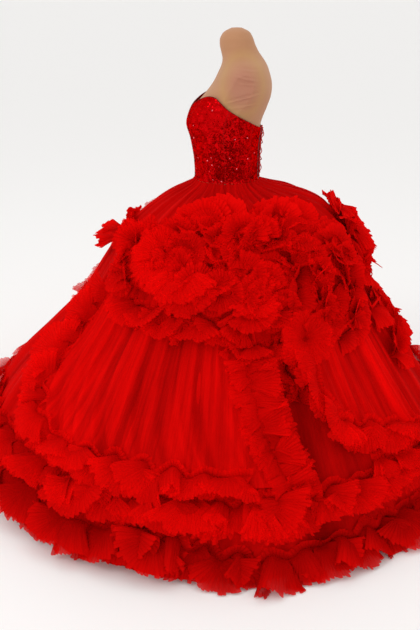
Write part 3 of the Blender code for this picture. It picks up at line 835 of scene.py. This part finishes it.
def skirt():
    net = net_cloth("skirt_net", net_deep, net_bright, streaks=0.26, glow=0.2)
    rows, columns = 64, 121
    down = np.linspace(0.0, 1.0, rows)[:, None]
    faces = grid_faces(rows, columns)
    for name, first, sides in gores:
        angle = np.linspace(first + 0.01, first + gore_angle - 0.01, columns)[None, :]
        # Painted shadow under the cascade, taken off the tone
        shade = np.exp(-((np.abs(angle) - shade_angle) / shade_width) ** 2)
        shade = shade * np.clip((down - shade_start) / shade_growth, 0.0, 1.0)
        edge = net_tone[0] + net_tone[1] * down - shade_depth * shade
        for side in sides:
            right = side == "_right"
            way = -angle if right else angle
            height = fold_height(way, down)
            points = skirt_point(way, down) + skirt_normal(way, down) * height[..., None]
            points[..., 2] = np.maximum(points[..., 2], floor_gap)
            # Painted shade in the troughs of the folds and painted light on their crests
            shares = {"edge": edge, "fold_shade": height / tone_fold}
            gore = cloth_mesh("skirt_" + name + "_net" + side, points.reshape(-1, 3),
                              faces if right else faces[:, ::-1], net, shares)
            dress(gore, "red_tulle", "skirt_" + name + side)


skirt()


# Overskirt petals
# A wide petal of soft tulle hangs over each hip and a narrower one behind it. Each is gathered
# into its top under the hip ruffles, so that its folds spread like a fan.
side_petal = (
    # share of the way down the petal, angle of its front edge and of its back edge
    (0.00, 36.0, 94.0),
    (0.25, 31.0, 98.0),
    (0.50, 29.0, 101.5),
    (0.75, 34.0, 105.0),
    (1.00, 44.0, 108.5),
)
back_petal = (
    (0.00, 115.5, 149.0),
    (0.25, 115.0, 150.0),
    (0.50, 115.5, 151.0),
    (0.75, 117.0, 152.0),
    (1.00, 120.0, 152.5),
)
petals = (
    # name, its edges, its top, its bottom at the front and at the back, its share of the wide
    # petal's folds, their depth, flat size, flat area, how bright its top is, points across
    ("side_petal", side_petal, 0.50, (0.850, 0.872), 1.0, 0.0075, (1.02, 0.66), 0.55, 0.53, 150),
    ("back_petal", back_petal, 0.52, (0.795, 0.885), 0.55, 0.0105, (0.52, 0.56), 0.25, 0.62, 84),
)
petal_waves = (
    # folds across the wide petal, how high, where the first one starts, how far it bends on its way down
    (2.2, 0.45, 0.4, 0.5),
    (4.7, 0.55, 1.9, -0.6),
    (8.3, 0.50, 4.0, 0.7),
    (13.1, 0.42, 0.9, -0.5),
    (20.7, 0.30, 2.6, 0.4),
    (32.3, 0.18, 5.2, 0.0),
)
petal_creases = (
    # place across the petal, how far it slants on its way down, how high it stands
    (0.22, 0.03, 0.9),
    (0.47, -0.02, 0.8),
    (0.64, 0.04, 1.3),
    (0.73, -0.03, 1.5),
    (0.80, 0.05, 1.2),
    (0.90, -0.02, 1.0),
)
crease_width = 0.009
petal_cloth = 0.0025
petal_glow = 0.25
petal_rows = 40
petal_lift = (0.0050, 0.020)


def petal_place(edges, top, hem, across, along):
    """The angle and the share of the way down the skirt at a place on a petal."""
    front, back = read_table(edges, along)
    bottom = hem[0] + (hem[1] - hem[0]) * across
    return front + (back - front) * across, top + (bottom - top) * along


def petal_wave(wide, across, along):
    """The fan of folds of a petal, about -1.5 in the valleys and 1.5 on the crests."""
    wave = 0.0
    for count, rise, start, bend in petal_waves:
        wave = wave + rise * np.sin(math.tau * count * wide * across + start + bend * along)
    for place, slant, rise in petal_creases:
        far = (across - place - slant * along) / crease_width * wide
        wave = wave + rise * np.exp(-far ** 2) * np.sqrt(np.clip(along, 0.0, 1.0))
    return wave


def petal_height(wide, depth, across, along):
    """How far a petal stands out from the skirt."""
    lift = petal_lift[0] + (petal_lift[1] - petal_lift[0]) * along + petal_cloth
    return lift + depth * petal_wave(wide, across, along) * (0.25 + 0.75 * along)


def overskirt():
    tulle = net_cloth("petal_tulle", net_deep, net_bright, streaks=0.40, glow=0.3, folds=0.17)
    for name, edges, top, hem, wide, depth, flat, area, tone, columns in petals:
        across, along = np.meshgrid(np.linspace(0.0, 1.0, columns), np.linspace(0.0, 1.0, petal_rows))
        angle, down = petal_place(edges, top, hem, across, along)
        height = large_folds(angle, down) + petal_height(wide, depth, across, along)
        points = skirt_point(angle, down) + skirt_normal(angle, down) * height[..., None]
        faces = grid_faces(petal_rows, columns)
        # Painted shade in the petal's fold valleys and painted light on its crests
        shares = {"edge": tone + petal_glow * along, "fold_shade": petal_wave(wide, across, along)}
        for side, grid, order in (("_left", points, faces[:, ::-1]), ("_right", flipped(points), faces)):
            petal = cloth_mesh("overskirt_" + name + "_tulle" + side, grid.reshape(-1, 3), order, tulle, shares)
            dress(petal, "red_tulle", "overskirt_" + name + side)


overskirt()


# Hem ruffles
# Strips of soft tulle in pleats of one and a half centimetres, each sewn down along a line, so
# that a leaf falls open in fans on either side of it. Two rows run round the hem.
seam_step = 0.004
pleat_width = 0.0150
pleat_depth = 0.0021
# One knife pleat: where its points lie along the cloth, and how far each stands out
pleat_marks = np.array([0.0, 0.34, 0.64, 0.92])
pleat_rise = np.array([-1.0, 0.15, 0.85, 0.90])
leaf_rows = np.array([0.0, 0.16, 0.46, 0.78, 1.0])
floor_rest = (0.014, 0.003)
front_share = 0.64
# What differs from fan to fan, lowest and highest: how wide it opens, where it points, its twist
# and its nod, its depth, how its edge curls and how far it is pushed up by what lies beneath
fan_ranges = ((0.78, 1.22), (-0.50, 0.50), (-0.38, 0.38), (-0.30, 0.34), (-0.20, 0.16), (-0.22, 0.06),
              (0.0, 0.34))
# The same from pleat to pleat: how wide it is, how deep, and how far its edge is torn in or out
pleat_widths = (0.65, 1.35)
pleat_depths = (0.55, 1.1)
pleat_tears = (-0.10, 0.045)
pleat_shade = 0.55
seam_sink = 0.002
seam_lift = 0.0012
fan_drift = 0.22
free_ripple = 0.0028
edge_tear = 0.018
# How a leaf leans, as shares of its reach: outward and up at its middle, outward and up at its edge
lean_flat = ((0.45, 0.30), (0.94, 0.40))
lean_short = ((-0.50, 0.17), (-1.00, 0.15))
# Leaves of a strip: lean, size, how far a fan opens to each side in degrees, where the first fan starts
hem_leaves = ((lean_flat, 1.0, 44.0, 0.0), (lean_short, 0.26, 18.0, 0.5))


def base_height(angle, down):
    """Height of the topmost layer at a place on the skirt, petals counted."""
    side = np.abs(angle)
    height = fold_height(angle, down)
    for _, edges, top, hem, wide, depth, *_ in petals:
        along = (down - top) / (hem[1] - top)
        for _ in range(4):
            front, back = read_table(edges, np.clip(along, 0.0, 1.0))
            across = (side - front) / (back - front)
            along = (down - top) / (hem[0] + (hem[1] - hem[0]) * np.clip(across, 0.0, 1.0) - top)
        inside = (along > 0) & (along < 1) & (across > 0) & (across < 1)
        across, along = np.clip(across, 0.0, 1.0), np.clip(along, 0.0, 1.0)
        over = large_folds(angle, down) + petal_height(wide, depth, across, along)
        height = np.where(inside, np.maximum(height, over), height)
    return height


def seam_line(places, closed, wander, turns, rng):
    """Points and directions along a winding seam at even steps: across it and straight out."""
    knots = [(number, *place) for number, place in enumerate(places)]
    if closed:
        knots.append((len(places), *places[0]))
    fine = np.linspace(0.0, knots[-1][0], 401)
    angle, down = read_table(knots, fine)
    around = skirt_point(angle + 0.5, down) - skirt_point(angle - 0.5, down)
    slope = (skirt_point(angle, down + 0.005) - skirt_point(angle, down - 0.005)) / 0.01
    across = unit(np.cross(np.gradient(skirt_point(angle, down), axis=0), skirt_normal(angle, down)))
    share = fine / fine[-1]
    first, second = rng.uniform(0.0, math.tau, 2)
    shift = wander * (0.72 * np.sin(math.tau * turns * share + first)
                      + 0.38 * np.sin(math.tau * (turns + 2) * share + second))
    if not closed:
        shift = shift * np.minimum(1.0, 6.0 * np.minimum(share, 1.0 - share))
    angle = angle + shift * (across * around).sum(-1) / (around ** 2).sum(-1)
    down = down + shift * (across * slope).sum(-1) / (slope ** 2).sum(-1)
    length = run_length(skirt_point(angle, down))
    marks = np.linspace(0.0, length[-1], int(length[-1] / seam_step) + 2)
    angle, down = np.interp(marks, length, angle), np.interp(marks, length, down)
    height = base_height(angle, down)
    window = np.hanning(9)[1:-1]
    padded = np.pad(height, 3, mode="edge")
    smooth = np.convolve(padded, window / window.sum(), mode="valid")
    height = np.maximum(smooth, height - seam_sink) + seam_lift
    out = skirt_normal(angle, down)
    points = skirt_point(angle, down) + out * height[:, None]
    forward = unit(np.gradient(skirt_point(angle, down), axis=0))
    across = unit(np.cross(forward, out))
    return marks, points, across, out


def wobble(rng, length, spacing):
    """Smooth chance values between -1 and 1 along a length."""
    knots = np.arange(-spacing, length + 2 * spacing, spacing)
    values = rng.uniform(-1.0, 1.0, len(knots))
    return lambda place: np.interp(place, knots, values)


def leaf_grid(seam, reach, lean, fans, spread, swing, start, wild, rng):
    """One leaf of a pleated strip: fans in front, and the folds between them doubled back."""
    marks, seam_points, seam_across, seam_out = seam
    length = marks[-1]
    period = length / fans
    count_fans = fans + 8
    opening, aim, twist, nod, depth, curl, push = (rng.uniform(*ends, count_fans) for ends in fan_ranges)
    opening = np.radians(spread) * opening
    aim, twist, nod = wild * aim, wild * twist, wild * nod
    depth = reach * (1.0 + (0.4 + 0.6 * wild) * depth)
    push = wild * reach * push
    drift = wobble(rng, length, period * 0.9)
    ripple = wobble(rng, length, 0.020)
    (mid_out, mid_up), (end_out, end_up) = lean
    sign = 1.0 if end_out >= 0 else -1.0

    def surface(place, shares):
        points, across, out = (
            np.stack([np.interp(place, marks, values[:, axis]) for axis in range(3)], -1)
            for values in (seam_points, seam_across, seam_out))
        across, out = unit(across), unit(out)
        forward = np.cross(out, across)
        count = place / period + start + fan_drift * drift(place)
        number = np.floor(count).astype(int)
        part = count - number
        number = np.clip(number + 1, 0, count_fans - 2)
        back = np.clip((part - front_share) / (1.0 - front_share), 0.0, 1.0)
        blend = back * back * (3 - 2 * back)
        front = np.clip(part / front_share, 0.0, 1.0)

        def of_fan(values):
            return values[number] + (values[number + 1] - values[number]) * blend

        returning = part > front_share
        turn = np.where(returning, opening[number] - (opening[number] + opening[number + 1]) * blend,
                        -opening[number] * np.cos(math.pi * front))
        rounding = 0.84 + 0.16 * np.cos(turn)
        turn = turn + of_fan(aim)
        swung = swing * np.where(returning, -0.8 * np.sin(math.pi * back), np.sin(math.pi * front))
        swung = swung + free_ripple * ripple(place)
        share = shares[:, None]
        outward = 2 * share * (1 - share) * mid_out * sign + share ** 2 * abs(end_out)
        upward = 2 * share * (1 - share) * mid_up + share ** 2 * end_up
        bend = of_fan(nod)[None] * share
        outward, upward = (outward * np.cos(bend) - upward * np.sin(bend),
                           outward * np.sin(bend) + upward * np.cos(bend))
        blade = unit(np.array([abs(end_out), end_up]))
        level = across * sign
        over = out * blade[0] - level * blade[1]
        leaning = of_fan(twist)[:, None]
        sideways = forward * np.cos(leaning) + over * np.sin(leaning)
        # A pleat lies along the lean of its leaf, turned sideways about the leaf's face
        straight = level[None] * outward[..., None] + out[None] * upward[..., None]
        size = np.linalg.norm(straight, axis=-1, keepdims=True)
        pleat_line = (straight * np.cos(turn)[None, :, None]
                      + sideways[None] * size * np.sin(turn)[None, :, None])
        lift = share ** 1.3 * swung[None] + share ** 2.6 * of_fan(curl * depth)[None]
        pushed = out[None] * (np.minimum(share / leaf_rows[1], 1.0) * of_fan(push)[None])[..., None]
        return (points[None] + pleat_line * (of_fan(depth) * rounding)[None, :, None]
                + over[None] * lift[..., None] + pushed)

    fine = np.linspace(0.0, length, int(fans * 90) + 1)
    along_edge = run_length(surface(fine, np.array([1.0]))[0])
    cut_length = along_edge[-1]
    pleats = int(cut_length / pleat_width)
    widths = np.concatenate([[0.0], np.cumsum(rng.uniform(*pleat_widths, pleats))])
    widths = widths / widths[-1] * cut_length
    edge_marks = (widths[:-1, None] + np.diff(widths)[:, None] * pleat_marks[None]).ravel()
    place = np.interp(edge_marks, along_edge, fine)
    grid = surface(place, leaf_rows)
    facing = unit(np.cross(np.gradient(grid, axis=1), np.gradient(grid, axis=0)))
    each = np.repeat(np.arange(pleats), len(pleat_marks))
    knife = np.tile(pleat_rise, pleats)
    uneven = rng.uniform(*pleat_depths, pleats)[each]
    shares = leaf_rows[:, None]
    grid = grid + facing * (pleat_depth * (0.15 + 0.85 * shares) * knife * uneven)[..., None]
    ragged = rng.uniform(*pleat_tears, pleats)[each] + edge_tear * knife
    grid = grid + (grid - grid[:1]) * (ragged * np.clip((shares - 0.6) / 0.4, 0.0, 1.0))[..., None]
    width = run_length(surface(fine[:1], leaf_rows)[:, 0])[-1]
    # Each pleat is toned darker in its valley and lighter on its ridge, partly the net lying denser in the fold
    # and partly painted shade, with a tone of its own for each pleat
    tone = knife * uneven + pleat_shade * rng.uniform(-1.0, 1.0, pleats)[each]
    fold_shade = np.broadcast_to(tone, grid.shape[:2])
    return grid, cut_length, width, fold_shade


def ruffle(name, nodes, places, reach, fans, swing, leaves, seed, flip=False, closed=False, wild=1.0,
           shine=0.0, even=0.2, tulle=None):
    """A pleated strip sewn along its middle, in place of the plain solid of the same ruffle."""
    rng = np.random.default_rng(seed)
    seam = seam_line(places, closed, 0.26 * reach * wild, max(1, round(0.8 * fans)), rng)
    points, faces, shares, folds, cuts = [], [], [], [], []
    start, width = 0, 0.0
    for lean, size, spread, first in leaves:
        # A short leaf swings less than a long one
        leaf_swing = swing * min(1.0, 1.5 * size)
        grid, cut, leaf_width, fold_shade = leaf_grid(seam, reach * size, lean, fans, spread, leaf_swing, first,
                                                wild, rng)
        rows, columns = grid.shape[:2]
        points.append(grid.reshape(-1, 3))
        faces.append(grid_faces(rows, columns, start))
        shares.append(np.repeat(leaf_rows, columns))
        folds.append(fold_shade.ravel())
        cuts.append(cut)
        start += rows * columns
        width += leaf_width
    points, faces, share = (np.concatenate(lists) for lists in (points, faces, shares))
    # Leaves that would reach the floor bend and lie just over it
    low, rest = points[:, 2] < floor_rest[0], floor_rest[0] - floor_rest[1]
    points[low, 2] = floor_rest[1] + rest * np.exp((points[low, 2] - floor_rest[0]) / rest)
    if flip:
        points, faces = flipped(points), faces[:, ::-1]
    piece = cloth_mesh(name, points, faces, tulle or ruffle_tulle,
                       # The tone runs from painted shade at the seam to the free edge, evened out by even, plus
                       # the piece's own painted light or shade
                       {"edge": share * (1.0 - even) + 0.6 * even + shine, "fold_shade": np.concatenate(folds),
                        "fade": share})
    dress(piece, "red_tulle", *nodes)


ruffle_tulle = net_cloth("ruffle_tulle", (0.56, 0.0012, 0.0010), (0.95, 0.0030, 0.0020), glow=0.40,
                         sheer=0.21)
# Darker reds, as painted shade, for the lower hem row near the floor and for the rim ruffles
shaded_reds = ((0.50, 0.0012, 0.0010), (0.86, 0.0026, 0.0018))
hem_tulle = net_cloth("hem_tulle", *shaded_reds, glow=0.30, sheer=0.07)

# How far a ruffle reaches on the right against the left, and how much calmer it hangs there
full_right = 0.88
calm_full = 0.9
calm_low = 0.5


def pair(name, node, places, reach, fans, swing, leaves, seed, right=full_right, right_leaves=None,
         wild=1.0, **look):
    """The same ruffle on both sides of the gown, each with its own fall. Those on the right lie
    a little lower: none of them shows over the skirt's far edge in the photograph."""
    ruffle(name + "_left", [node + "_left"] if node else [], places, reach, fans, swing, leaves, seed,
           wild=wild, **look)
    calm = calm_full if right == full_right else calm_low
    ruffle(name + "_right", [node + "_right"] if node else [], places, reach * right, fans, swing,
           right_leaves or leaves, seed + 1, flip=True, wild=wild * calm, **look)


hem_drop = (
    # angle, share of a row's drop there
    (0.0, 0.0),
    (35.0, 0.05),
    (50.0, 0.35),
    (64.0, 0.75),
    (76.0, 0.30),
    (84.0, 0.62),
    (95.0, 1.40),
    (110.0, 1.15),
    (138.0, 1.00),
    (162.0, 0.35),
    (180.0, 0.0),
)
hem_gap = 0.012
hem_rows = (
    # name, place at front and back, how much lower at the sides, reach, its painted light or shade, its tulle
    ("upper", 0.878, 0.008, 0.104, -0.16, ruffle_tulle),
    ("lower", 0.924, 0.034, 0.111, -0.50, hem_tulle),
)
hem_make = (18, 0.022, hem_leaves)


def hem_places(first, down, side_drop):
    """The route of a quarter of a hem ruffle, which dips towards the wearer's side."""
    angles = np.linspace(first + hem_gap, first + 90.0 - hem_gap, 9)
    around = np.abs(np.where(angles > 180.0, angles - 360.0, angles))
    drops = down + side_drop * read_table(hem_drop, around)[0]
    return list(zip(angles, drops))


seed = 100
for row, down, side_drop, reach, shine, tulle in hem_rows:
    for name, first in (("front", -45.0), ("back", 135.0)):
        seed += 7
        ruffle(f"hem_frill_{row}_{name}", [f"hem_ruffle_{row}_{name}"], hem_places(first, down, side_drop),
               reach, *hem_make, seed, wild=0.6, shine=shine, tulle=tulle)
    seed += 7
    pair(f"hem_frill_{row}", f"hem_ruffle_{row}", hem_places(45.0, down, side_drop), reach, *hem_make, seed,
         wild=0.65, shine=shine, right=1.0, tulle=tulle)


# Petal ruffles
# A ruffle with one long leaf edges each petal, and a cascade with two falls down the back edge of
# the wide one. A small round ruffle is sewn on at its foot.
lean_frill = ((0.44, 0.34), (0.94, 0.42))
lean_left = ((0.50, 0.22), (1.00, 0.30))
lean_right = ((-0.50, 0.22), (-1.00, 0.30))
lean_inward = ((-0.30, 0.48), (-0.84, 0.66))
rim_leaves = ((lean_frill, 1.0, 54.0, 0.0), (lean_short, 0.24, 16.0, 0.5))
cascade_leaves = ((lean_left, 0.80, 10.0, 0.0), (lean_right, 1.10, 12.0, 0.5))
curl_leaves = ((lean_frill, 0.85, 60.0, 0.0), (lean_inward, 0.75, 60.0, 0.5))


def petal_edge(edges, top, hem, start, end):
    """The route down a petal's front edge and along its bottom."""
    down_edge = [petal_place(edges, top, hem, 0.04, along) for along in (start, 0.45, 0.7, 0.88)]
    return down_edge + [petal_place(edges, top, hem, across, 0.955) for across in np.linspace(0.12, end, 6)]


side_rule, back_rule = petals[0][1:4], petals[1][1:4]
pair("side_petal_frill", "side_petal_ruffle", petal_edge(*side_rule, 0.20, 0.86), 0.100, 15, 0.018,
     rim_leaves, 201, wild=0.7, right=0.62)
pair("back_petal_frill", "back_petal_ruffle", petal_edge(*back_rule, 0.42, 0.97), 0.092, 9, 0.016,
     rim_leaves, 211, wild=0.6, even=0.5)
cascade_places = [petal_place(*side_rule, across, along) for across, along in
                  ((0.94, 0.45), (0.945, 0.60), (0.95, 0.76), (0.96, 0.89), (0.975, 1.01))]
pair("side_cascade_frill", "side_cascade", cascade_places, 0.088, 9, 0.014, cascade_leaves, 221, wild=0.3,
     even=0.7, shine=-0.08)


def circle_places(angle, down, radius, turns=1.0, first=0.0, growth=0.0, steps=12):
    """Places on a circle or spiral round a place on the skirt."""
    around = np.linalg.norm(skirt_point(angle + 0.5, down) - skirt_point(angle - 0.5, down))
    slope = np.linalg.norm(skirt_point(angle, down + 0.01) - skirt_point(angle, down - 0.01)) / 0.02
    places = []
    for step in range(int(steps * turns) + (0 if turns == 1.0 else 1)):
        turn = -(first + math.tau * step / steps)
        wide = radius + growth * step / steps
        places.append((angle + wide * math.cos(turn) / around, down + wide * math.sin(turn) / slope))
    return places


pair("cascade_whorl", "", circle_places(109.0, 0.884, 0.026), 0.062, 4, 0.010, curl_leaves, 231, closed=True,
     wild=0.4)


# Single fans
# Short strips that open into one or a few wide fans. They are sewn over the rows on the petals,
# the hem and the hip, where the cloth catches the light, and are toned brighter with painted light.
lean_shell = ((0.40, 0.50), (0.96, 0.56))
shell_leaves = ((lean_frill, 1.0, 46.0, 0.0), (lean_short, 0.34, 40.0, 0.5))
over_leaves = ((lean_shell, 1.0, 50.0, 0.0), (lean_frill, 0.55, 46.0, 0.5))
bow_leaves = ((lean_shell, 1.0, 30.0, 0.0), (lean_frill, 0.6, 40.0, 0.5))
corner_leaves = ((lean_frill, 1.0, 26.0, 0.0), (lean_short, 0.34, 26.0, 0.5))
shells = (
    # piece, route, reach, fans, leaves, seed
    ("petal_shell_front", ((83.5, 0.880), (92.5, 0.883)), 0.128, 1, shell_leaves, 241),
    ("petal_shell_back", ((96.5, 0.884), (103.5, 0.888)), 0.122, 1, corner_leaves, 251),
    ("petal_shell_low", ((58.0, 0.882), (66.0, 0.886)), 0.105, 1, shell_leaves, 261),
    ("petal_shell_corner", ((120.5, 0.790), (126.0, 0.804)), 0.085, 1, corner_leaves, 265),
    ("hem_shell_side", ((128.5, 0.866), (134.0, 0.870)), 0.088, 1, corner_leaves, 271),
    ("hem_shell_back", ((135.0, 0.872), (140.5, 0.876)), 0.082, 1, corner_leaves, 275),
    ("hip_shell_rosette", circle_places(57.0, 0.463, 0.018, 0.45, 2.1), 0.100, 3, over_leaves, 281),
    ("hip_shell_bow", ((66.0, 0.480), (74.0, 0.478)), 0.125, 1, bow_leaves, 285),
    ("hip_shell_low", ((97.0, 0.545), (104.0, 0.548)), 0.098, 1, over_leaves, 291),
)
shell_swing = 0.020
hip_shell_right = 0.45
for name, places, reach, fans, leaves, row_seed in shells:
    pair(name, "", places, reach, fans, shell_swing, leaves, row_seed, wild=0.3, shine=0.35,
         right=hip_shell_right if name.startswith("hip") else full_right)


# Hip ruffles
# A rosette, two curls, three arcs and an arch of the same strips are sewn in rows over each hip,
# with shorter strips between them. Fans stand over the left hip and in the middle of the front.
lean_upper = ((-0.36, 0.42), (-0.78, 0.62))
lean_raised = ((0.22, 0.52), (0.52, 0.86))
lean_low = ((0.50, 0.16), (0.98, 0.16))
lean_out = ((0.30, 0.50), (0.62, 0.72))
two_leaves = ((lean_frill, 1.0, 66.0, 0.0), (lean_upper, 0.92, 66.0, 0.5))
arch_leaves = ((lean_raised, 1.15, 62.0, 0.0), (lean_upper, 0.9, 62.0, 0.5))
low_leaves = ((lean_low, 0.8, 60.0, 0.0), (lean_upper, 0.6, 60.0, 0.5))
front_leaves = ((lean_out, 1.0, 40.0, 0.0), (lean_out, 0.9, 40.0, 0.5))
# The rim tulle takes the darker reds as painted shade
rim_tulle = net_cloth("rim_tulle", *shaded_reds, glow=0.30)
low_right = 0.55
pair("hip_rosette_frill", "hip_rosette", circle_places(54.0, 0.485, 0.045), 0.072, 6, 0.014, curl_leaves,
     301, closed=True, wild=0.45, shine=0.75, right=low_right)
pair("hip_front_curl_frill", "hip_front_curl", circle_places(83.0, 0.470, 0.022, 1.25, 2.6, 0.030), 0.072,
     5, 0.012, curl_leaves, 311)
pair("hip_back_curl_frill", "hip_back_curl", circle_places(104.0, 0.518, 0.018, 1.25, 0.6, 0.026), 0.068,
     5, 0.012, curl_leaves, 321)

hip_rows = (
    # piece, node, route, reach, fans, leaves, seed, how wild it is
    ("hip_inner_arc_frill", "hip_inner_arc",
     ((107.0, 0.598), (114.5, 0.560), (118.0, 0.510), (116.5, 0.475), (110.0, 0.450), (101.0, 0.442)),
     0.066, 5, two_leaves, 331, 0.6),
    ("hip_middle_arc_frill", "hip_middle_arc",
     ((118.0, 0.634), (128.0, 0.595), (134.0, 0.535), (135.0, 0.475), (131.5, 0.430), (122.0, 0.400),
      (110.0, 0.393)), 0.076, 8, two_leaves, 341, 0.6),
    ("hip_outer_arc_frill", "hip_outer_arc",
     ((131.0, 0.660), (142.0, 0.622), (150.0, 0.560), (152.5, 0.490), (149.5, 0.440), (140.0, 0.405)),
     0.064, 8, two_leaves, 351, 0.6),
    ("hip_hanging_row_frill", "hip_hanging_row",
     ((47.0, 0.575), (56.0, 0.585), (68.0, 0.592), (83.0, 0.596), (97.0, 0.600)),
     0.085, 8, rim_leaves, 361, 0.8),
    ("hip_arch_frill", "hip_arch",
     ((91.0, 0.415), (83.0, 0.392), (72.0, 0.385), (58.0, 0.397), (46.0, 0.422), (36.0, 0.458)),
     0.072, 6, arch_leaves, 371, 0.9),
    ("hip_fill_left_of_rosette", "", ((41.0, 0.440), (37.0, 0.480), (39.0, 0.525), (46.0, 0.555)),
     0.078, 4, two_leaves, 501, 1.0),
    ("hip_fill_right_of_rosette", "", ((66.0, 0.560), (68.0, 0.515), (67.0, 0.465), (64.0, 0.425)),
     0.070, 4, two_leaves, 511, 1.0),
    ("hip_fill_bow", "", ((68.0, 0.530), (78.0, 0.522), (89.0, 0.532)), 0.090, 2, two_leaves, 521, 0.8),
    ("hip_fill_between_curls", "", ((92.0, 0.555), (94.0, 0.510), (93.0, 0.465), (90.0, 0.430)),
     0.068, 4, two_leaves, 531, 1.0),
    ("hip_fill_over_curls", "", ((112.0, 0.420), (104.0, 0.400), (96.0, 0.392), (86.0, 0.395)),
     0.070, 4, arch_leaves, 541, 1.0),
    ("hip_fill_under_swirl", "", ((93.0, 0.568), (103.0, 0.572), (113.0, 0.562)),
     0.075, 3, two_leaves, 551, 1.0),
    ("hip_fill_outer", "", ((125.0, 0.600), (126.0, 0.540), (125.0, 0.480), (120.0, 0.440)),
     0.070, 4, two_leaves, 561, 0.8),
    ("hip_fill_above_cascade", "", ((91.0, 0.632), (98.0, 0.640), (107.0, 0.638)),
     0.068, 3, rim_leaves, 581, 0.6),
    ("hip_fill_beside_cascade", "", ((108.5, 0.640), (111.0, 0.690), (113.5, 0.750)),
     0.050, 3, two_leaves, 591, 0.7),
    ("hip_fill_side", "", ((141.0, 0.590), (144.0, 0.530), (143.0, 0.470), (137.0, 0.430)),
     0.072, 4, two_leaves, 571, 0.8),
)
hip_swing = 0.014
# Painted shade: the hip rows are toned darker
hip_shine = -0.22
# Beyond these angles at the front and at the back, a row lies lower on the right
low_beyond = (50.0, 115.0)
# Rows that start farther back than this stand on the outline, and their tulle lets no light past
outline_angle = 130.0
for name, node, places, reach, fans, leaves, row_seed, wild in hip_rows:
    raised = leaves is arch_leaves
    low = raised or places[-1][0] < low_beyond[0] or places[0][0] > low_beyond[1]
    pair(name, node, places, reach, fans, hip_swing, leaves, row_seed, wild=wild, shine=hip_shine,
         right=low_right if low else full_right, right_leaves=low_leaves if raised else None,
         tulle=rim_tulle if places[0][0] > outline_angle else None)
# Fans that stand over the hip on the left alone, where the photograph shows them
ruffle("hip_top_fans", [], ((86.0, 0.345), (78.0, 0.338), (69.0, 0.345), (62.0, 0.360)), 0.080, 2, hip_swing,
       arch_leaves, 381, wild=0.8, shine=0.3, tulle=rim_tulle)
ruffle("hip_top_fans_back", [], ((128.0, 0.355), (119.0, 0.338), (109.0, 0.335), (100.0, 0.350)), 0.062, 3,
       hip_swing, arch_leaves, 391, wild=0.8, shine=0.1, tulle=rim_tulle)
ruffle("front_fan", [], ((-9.0, 0.466), (9.0, 0.474)), 0.100, 2, hip_swing, front_leaves, 395, wild=0.15,
       tulle=rim_tulle)


# Front swag and back tiers
# A ruffle hangs in a shallow swag across the front of the skirt, and five climb the back in tiers
# under the lacing, the two lowest the widest.
ruffle("front_swag_frill", ["front_swag_ruffle"],
       [(-28.0, 0.460), (-15.0, 0.430), (0.0, 0.420), (15.0, 0.430), (28.0, 0.460)],
       0.066, 6, 0.012, low_leaves, 401, wild=0.5, tulle=rim_tulle)
back_tiers = (
    # place of the seam, how far it reaches to each side in degrees, reach of the leaves, fans, size
    # of the leaf that stands up
    (0.370, 15.0, 0.096, 3, 0.70),
    (0.450, 14.0, 0.104, 3, 0.80),
    (0.535, 15.0, 0.100, 3, 0.75),
    (0.636, 24.0, 0.084, 5, 0.50),
    (0.730, 25.0, 0.096, 6, 0.80),
)
tier_sag = 0.012
tier_spread = 66.0
for number, (down, spread, reach, fans, upper) in enumerate(back_tiers, start=1):
    places = [(180.0 + spread * k / 3, down + tier_sag * (k / 3) ** 2) for k in range(-3, 4)]
    leaves = ((lean_frill, 1.0, tier_spread, 0.0), (lean_upper, upper, 60.0, 0.5))
    ruffle(f"back_tier_{number}_frill", [f"back_tier_{number}"], places, reach, fans, 0.016, leaves,
           410 + number, wild=0.6, shine=0.1, tulle=rim_tulle)
